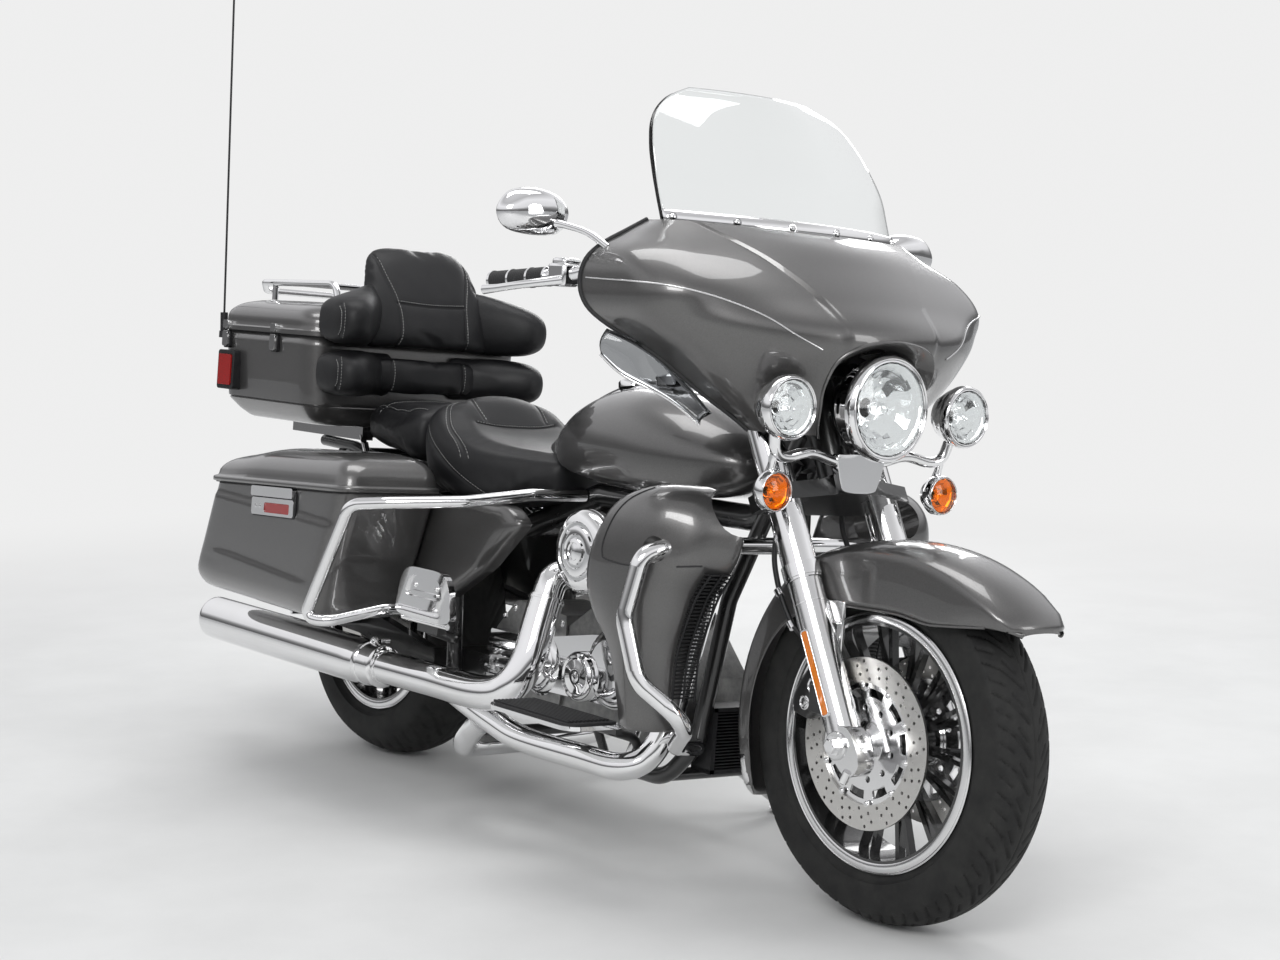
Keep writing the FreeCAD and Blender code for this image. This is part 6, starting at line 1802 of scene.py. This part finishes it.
MIRROR_EDGE = [(-545, 1200), (-520, 1236), (-470, 1246), (-420, 1236), (-395, 1208), (-410, 1172),
               (-450, 1162), (-520, 1168)]


def mirror_pair():
    loop = smooth_closed(MIRROR_EDGE, 6)
    middle = (-468, 1205)
    rings = [[(x, middle[0] + (a - middle[0]) * grow, middle[1] + (b - middle[1]) * grow) for a, b in loop]
             for x, grow in ((1052, 0.90), (1051, 0.93), (1050.5, 0.965), (1052, 0.99), (1056, 1.0),
                             (1064, 0.985), (1073, 0.93), (1081, 0.82), (1087, 0.65), (1091, 0.4),
                             (1092.5, 0.1))]
    stem = piped([(1078, -440, 1186), (1098, -428, 1184), (1140, -404, 1172), (1176, -384, 1148)],
                 [9, 6.5, 6, 7], 14, 6)
    piece("mirror_heads", "steering", CHROME, both_sides(joined(skinned(rings), stem)), 40,
          replaces=("mirrors",))
    glass = front_plate([[(middle[0] + (a - middle[0]) * 0.93, middle[1] + (b - middle[1]) * 0.93)
                          for a, b in loop]], 1050.8, 1053)
    piece("mirror_glass", "steering", MIRROR_FACETS, both_sides(glass), 40)


def bars():
    bar = piped([(1272, -10, 1012), (1270, -62, 1013), (1252, -118, 1048), (1225, -185, 1098),
                 (1196, -290, 1126), (1160, -362, 1120), (1096, -402, 1097), (1000, -417, 1088),
                 (893, -432, 1078)], 12.7, 20, 8)
    across = piped([(1272, -12, 1012), (1272, 0, 1012), (1272, 12, 1012)], 12.7, 20, 2)
    start, end = Vector((1042, -411, 1091.4)), Vector((893, -432, 1078))
    run = end - start
    length = run.length
    caps = turned([(length - 8, 0), (length - 8, 19), (length - 2, 19), (length, 15), (length, 0)], start,
                  run, 32)
    rings = [turned([(at, 0), (at, 19), (at + 5, 19), (at + 5, 0)], start, run, 32) for at in (-3, 42, 92)]
    perch = joined(brick((1052, 1104), (-424, -386), (1074, 1116)),
                   brick((1058, 1098), (-420, -380), (1112, 1126)))
    lever = piped([(1098, -420, 1086), (1060, -446, 1078), (1020, -464, 1071), (970, -472, 1064),
                   (930, -476, 1060)], [7, 6, 5.5, 5.5, 7], 14, 6, 1.3)
    piece("bar_and_levers", "steering", CHROME,
          joined(across, both_sides(joined(bar, caps, *rings, lever))), 40, replaces=("handlebar",))
    piece("control_housings", "steering", CHROME, both_sides(perch), 40, bevel=6)
    grip = turned([(0, 0), (0, 18)] + [(length * k / 60, 18 - (0.9 if k % 2 else 0)) for k in range(1, 56)]
                  + [(length - 8, 18), (length - 8, 0)], start, run, 32)
    piece("grips", "steering", RUBBER, both_sides(grip), 30)


mirror_pair()
bars()

# Floor, world and lamps

# The background's colour, on the floor far out and behind the object
PALE = (0.86, 0.86, 0.86, 1)


def plain_floor():
    """A matt floor that turns as pale as the background further out, where it is only looked at."""
    material = new_material("floor_paint", (0.72, 0.72, 0.71), 0.75)
    cloudy(material, 3.0, (0.70, 0.70, 0.69), (0.74, 0.74, 0.73))
    distance = add_node(material, "ShaderNodeVectorMath")
    distance.operation = "LENGTH"
    place(material, distance)
    fade = add_node(material, "ShaderNodeMapRange", From_Min=1.6, From_Max=5.0)
    fade.interpolation_type = "SMOOTHSTEP"
    link(material, distance.outputs["Value"], fade.inputs["Value"])
    path = add_node(material, "ShaderNodeLightPath")
    either = add_node(material, "ShaderNodeMath")
    either.operation = "MAXIMUM"
    link(material, path.outputs["Is Camera Ray"], either.inputs[0])
    link(material, path.outputs["Is Transmission Ray"], either.inputs[1])
    share = add_node(material, "ShaderNodeMath")
    share.operation = "MULTIPLY"
    link(material, fade.outputs["Result"], share.inputs[0])
    link(material, either.outputs["Value"], share.inputs[1])
    glow = add_node(material, "ShaderNodeEmission", Color=PALE, Strength=1.0)
    mix = add_node(material, "ShaderNodeMixShader")
    output = material.node_tree.nodes["Material Output"]
    link(material, share.outputs["Value"], mix.inputs["Fac"])
    link(material, shader_of(material).outputs["BSDF"], mix.inputs[1])
    link(material, glow.outputs["Emission"], mix.inputs[2])
    link(material, mix.outputs["Shader"], output.inputs["Surface"])
    size = 40
    mesh = bpy.data.meshes.new("floor")
    mesh.from_pydata([(-size, -size, 0), (size, -size, 0), (size, size, 0), (-size, size, 0)], [],
                     [(0, 1, 2, 3)])
    mesh.materials.append(material)
    floor = bpy.data.objects.new("floor", mesh)
    bpy.context.scene.collection.objects.link(floor)


# How bright the reflected studio is from straight below (0) over level (0.5) to straight above (1)
SKY_TONES = ((0.0, 0.16), (0.05, 0.12), (0.13, 0.30), (0.22, 0.80), (0.5, 0.95), (0.75, 0.55), (1.0, 0.70))


def studio_world():
    """Pale behind the object and in its reflections, softer where it lights matt surfaces."""
    world = bpy.data.worlds.new("studio")
    bpy.context.scene.world = world
    world.use_nodes = True
    world.node_tree.nodes.clear()
    coordinates = add_node(world, "ShaderNodeTexCoord")
    split = add_node(world, "ShaderNodeSeparateXYZ")
    link(world, coordinates.outputs["Generated"], split.inputs["Vector"])
    sky = add_node(world, "ShaderNodeValToRGB")
    while len(sky.color_ramp.elements) < len(SKY_TONES):
        sky.color_ramp.elements.new(0.5)
    for element, (position, tone) in zip(sky.color_ramp.elements, SKY_TONES):
        element.position = position
        element.color = (tone, tone, tone * 1.02, 1)
    link(world, split.outputs["Z"], sky.inputs["Fac"])
    seen = add_node(world, "ShaderNodeBackground", Color=PALE)
    reflected = add_node(world, "ShaderNodeBackground")
    link(world, sky.outputs["Color"], reflected.inputs["Color"])
    lighting = add_node(world, "ShaderNodeBackground", Color=(0.55, 0.56, 0.58, 1), Strength=1.0)
    path = add_node(world, "ShaderNodeLightPath")
    shiny = add_node(world, "ShaderNodeMixShader")
    link(world, path.outputs["Is Glossy Ray"], shiny.inputs["Fac"])
    link(world, lighting.outputs["Background"], shiny.inputs[1])
    link(world, reflected.outputs["Background"], shiny.inputs[2])
    through = add_node(world, "ShaderNodeMath")
    through.operation = "MAXIMUM"
    link(world, path.outputs["Is Camera Ray"], through.inputs[0])
    link(world, path.outputs["Is Transmission Ray"], through.inputs[1])
    final = add_node(world, "ShaderNodeMixShader")
    link(world, through.outputs["Value"], final.inputs["Fac"])
    link(world, shiny.outputs["Shader"], final.inputs[1])
    link(world, seen.outputs["Background"], final.inputs[2])
    output = add_node(world, "ShaderNodeOutputWorld")
    link(world, final.outputs["Shader"], output.inputs["Surface"])


# Lamps: name, place, aim, width, height (metres), watts
LAMPS = (
    ("key", (3.2, -3.6, 3.4), (0.2, 0, 0.7), 2.4, 1.6, 105),
    ("top", (-0.3, 0.2, 4.2), (-0.1, 0, 0.6), 3.6, 1.6, 70),
    ("rim", (-2.8, 3.2, 2.6), (0, 0, 0.8), 2.4, 1.6, 60),
    ("low_front", (4.6, 1.6, 1.5), (0.4, 0, 0.7), 1.4, 1.8, 30),
)


def lamps():
    for name, at, aim, width, height, watts in LAMPS:
        data = bpy.data.lights.new(name, "AREA")
        data.shape = "RECTANGLE"
        data.size = width
        data.size_y = height
        data.energy = watts
        lamp = bpy.data.objects.new(name, data)
        lamp.location = at
        lamp.rotation_euler = (Vector(aim) - Vector(at)).to_track_quat("-Z", "Y").to_euler()
        bpy.context.scene.collection.objects.link(lamp)


plain_floor()
studio_world()
lamps()
bpy.context.scene.view_settings.view_transform = "Standard"
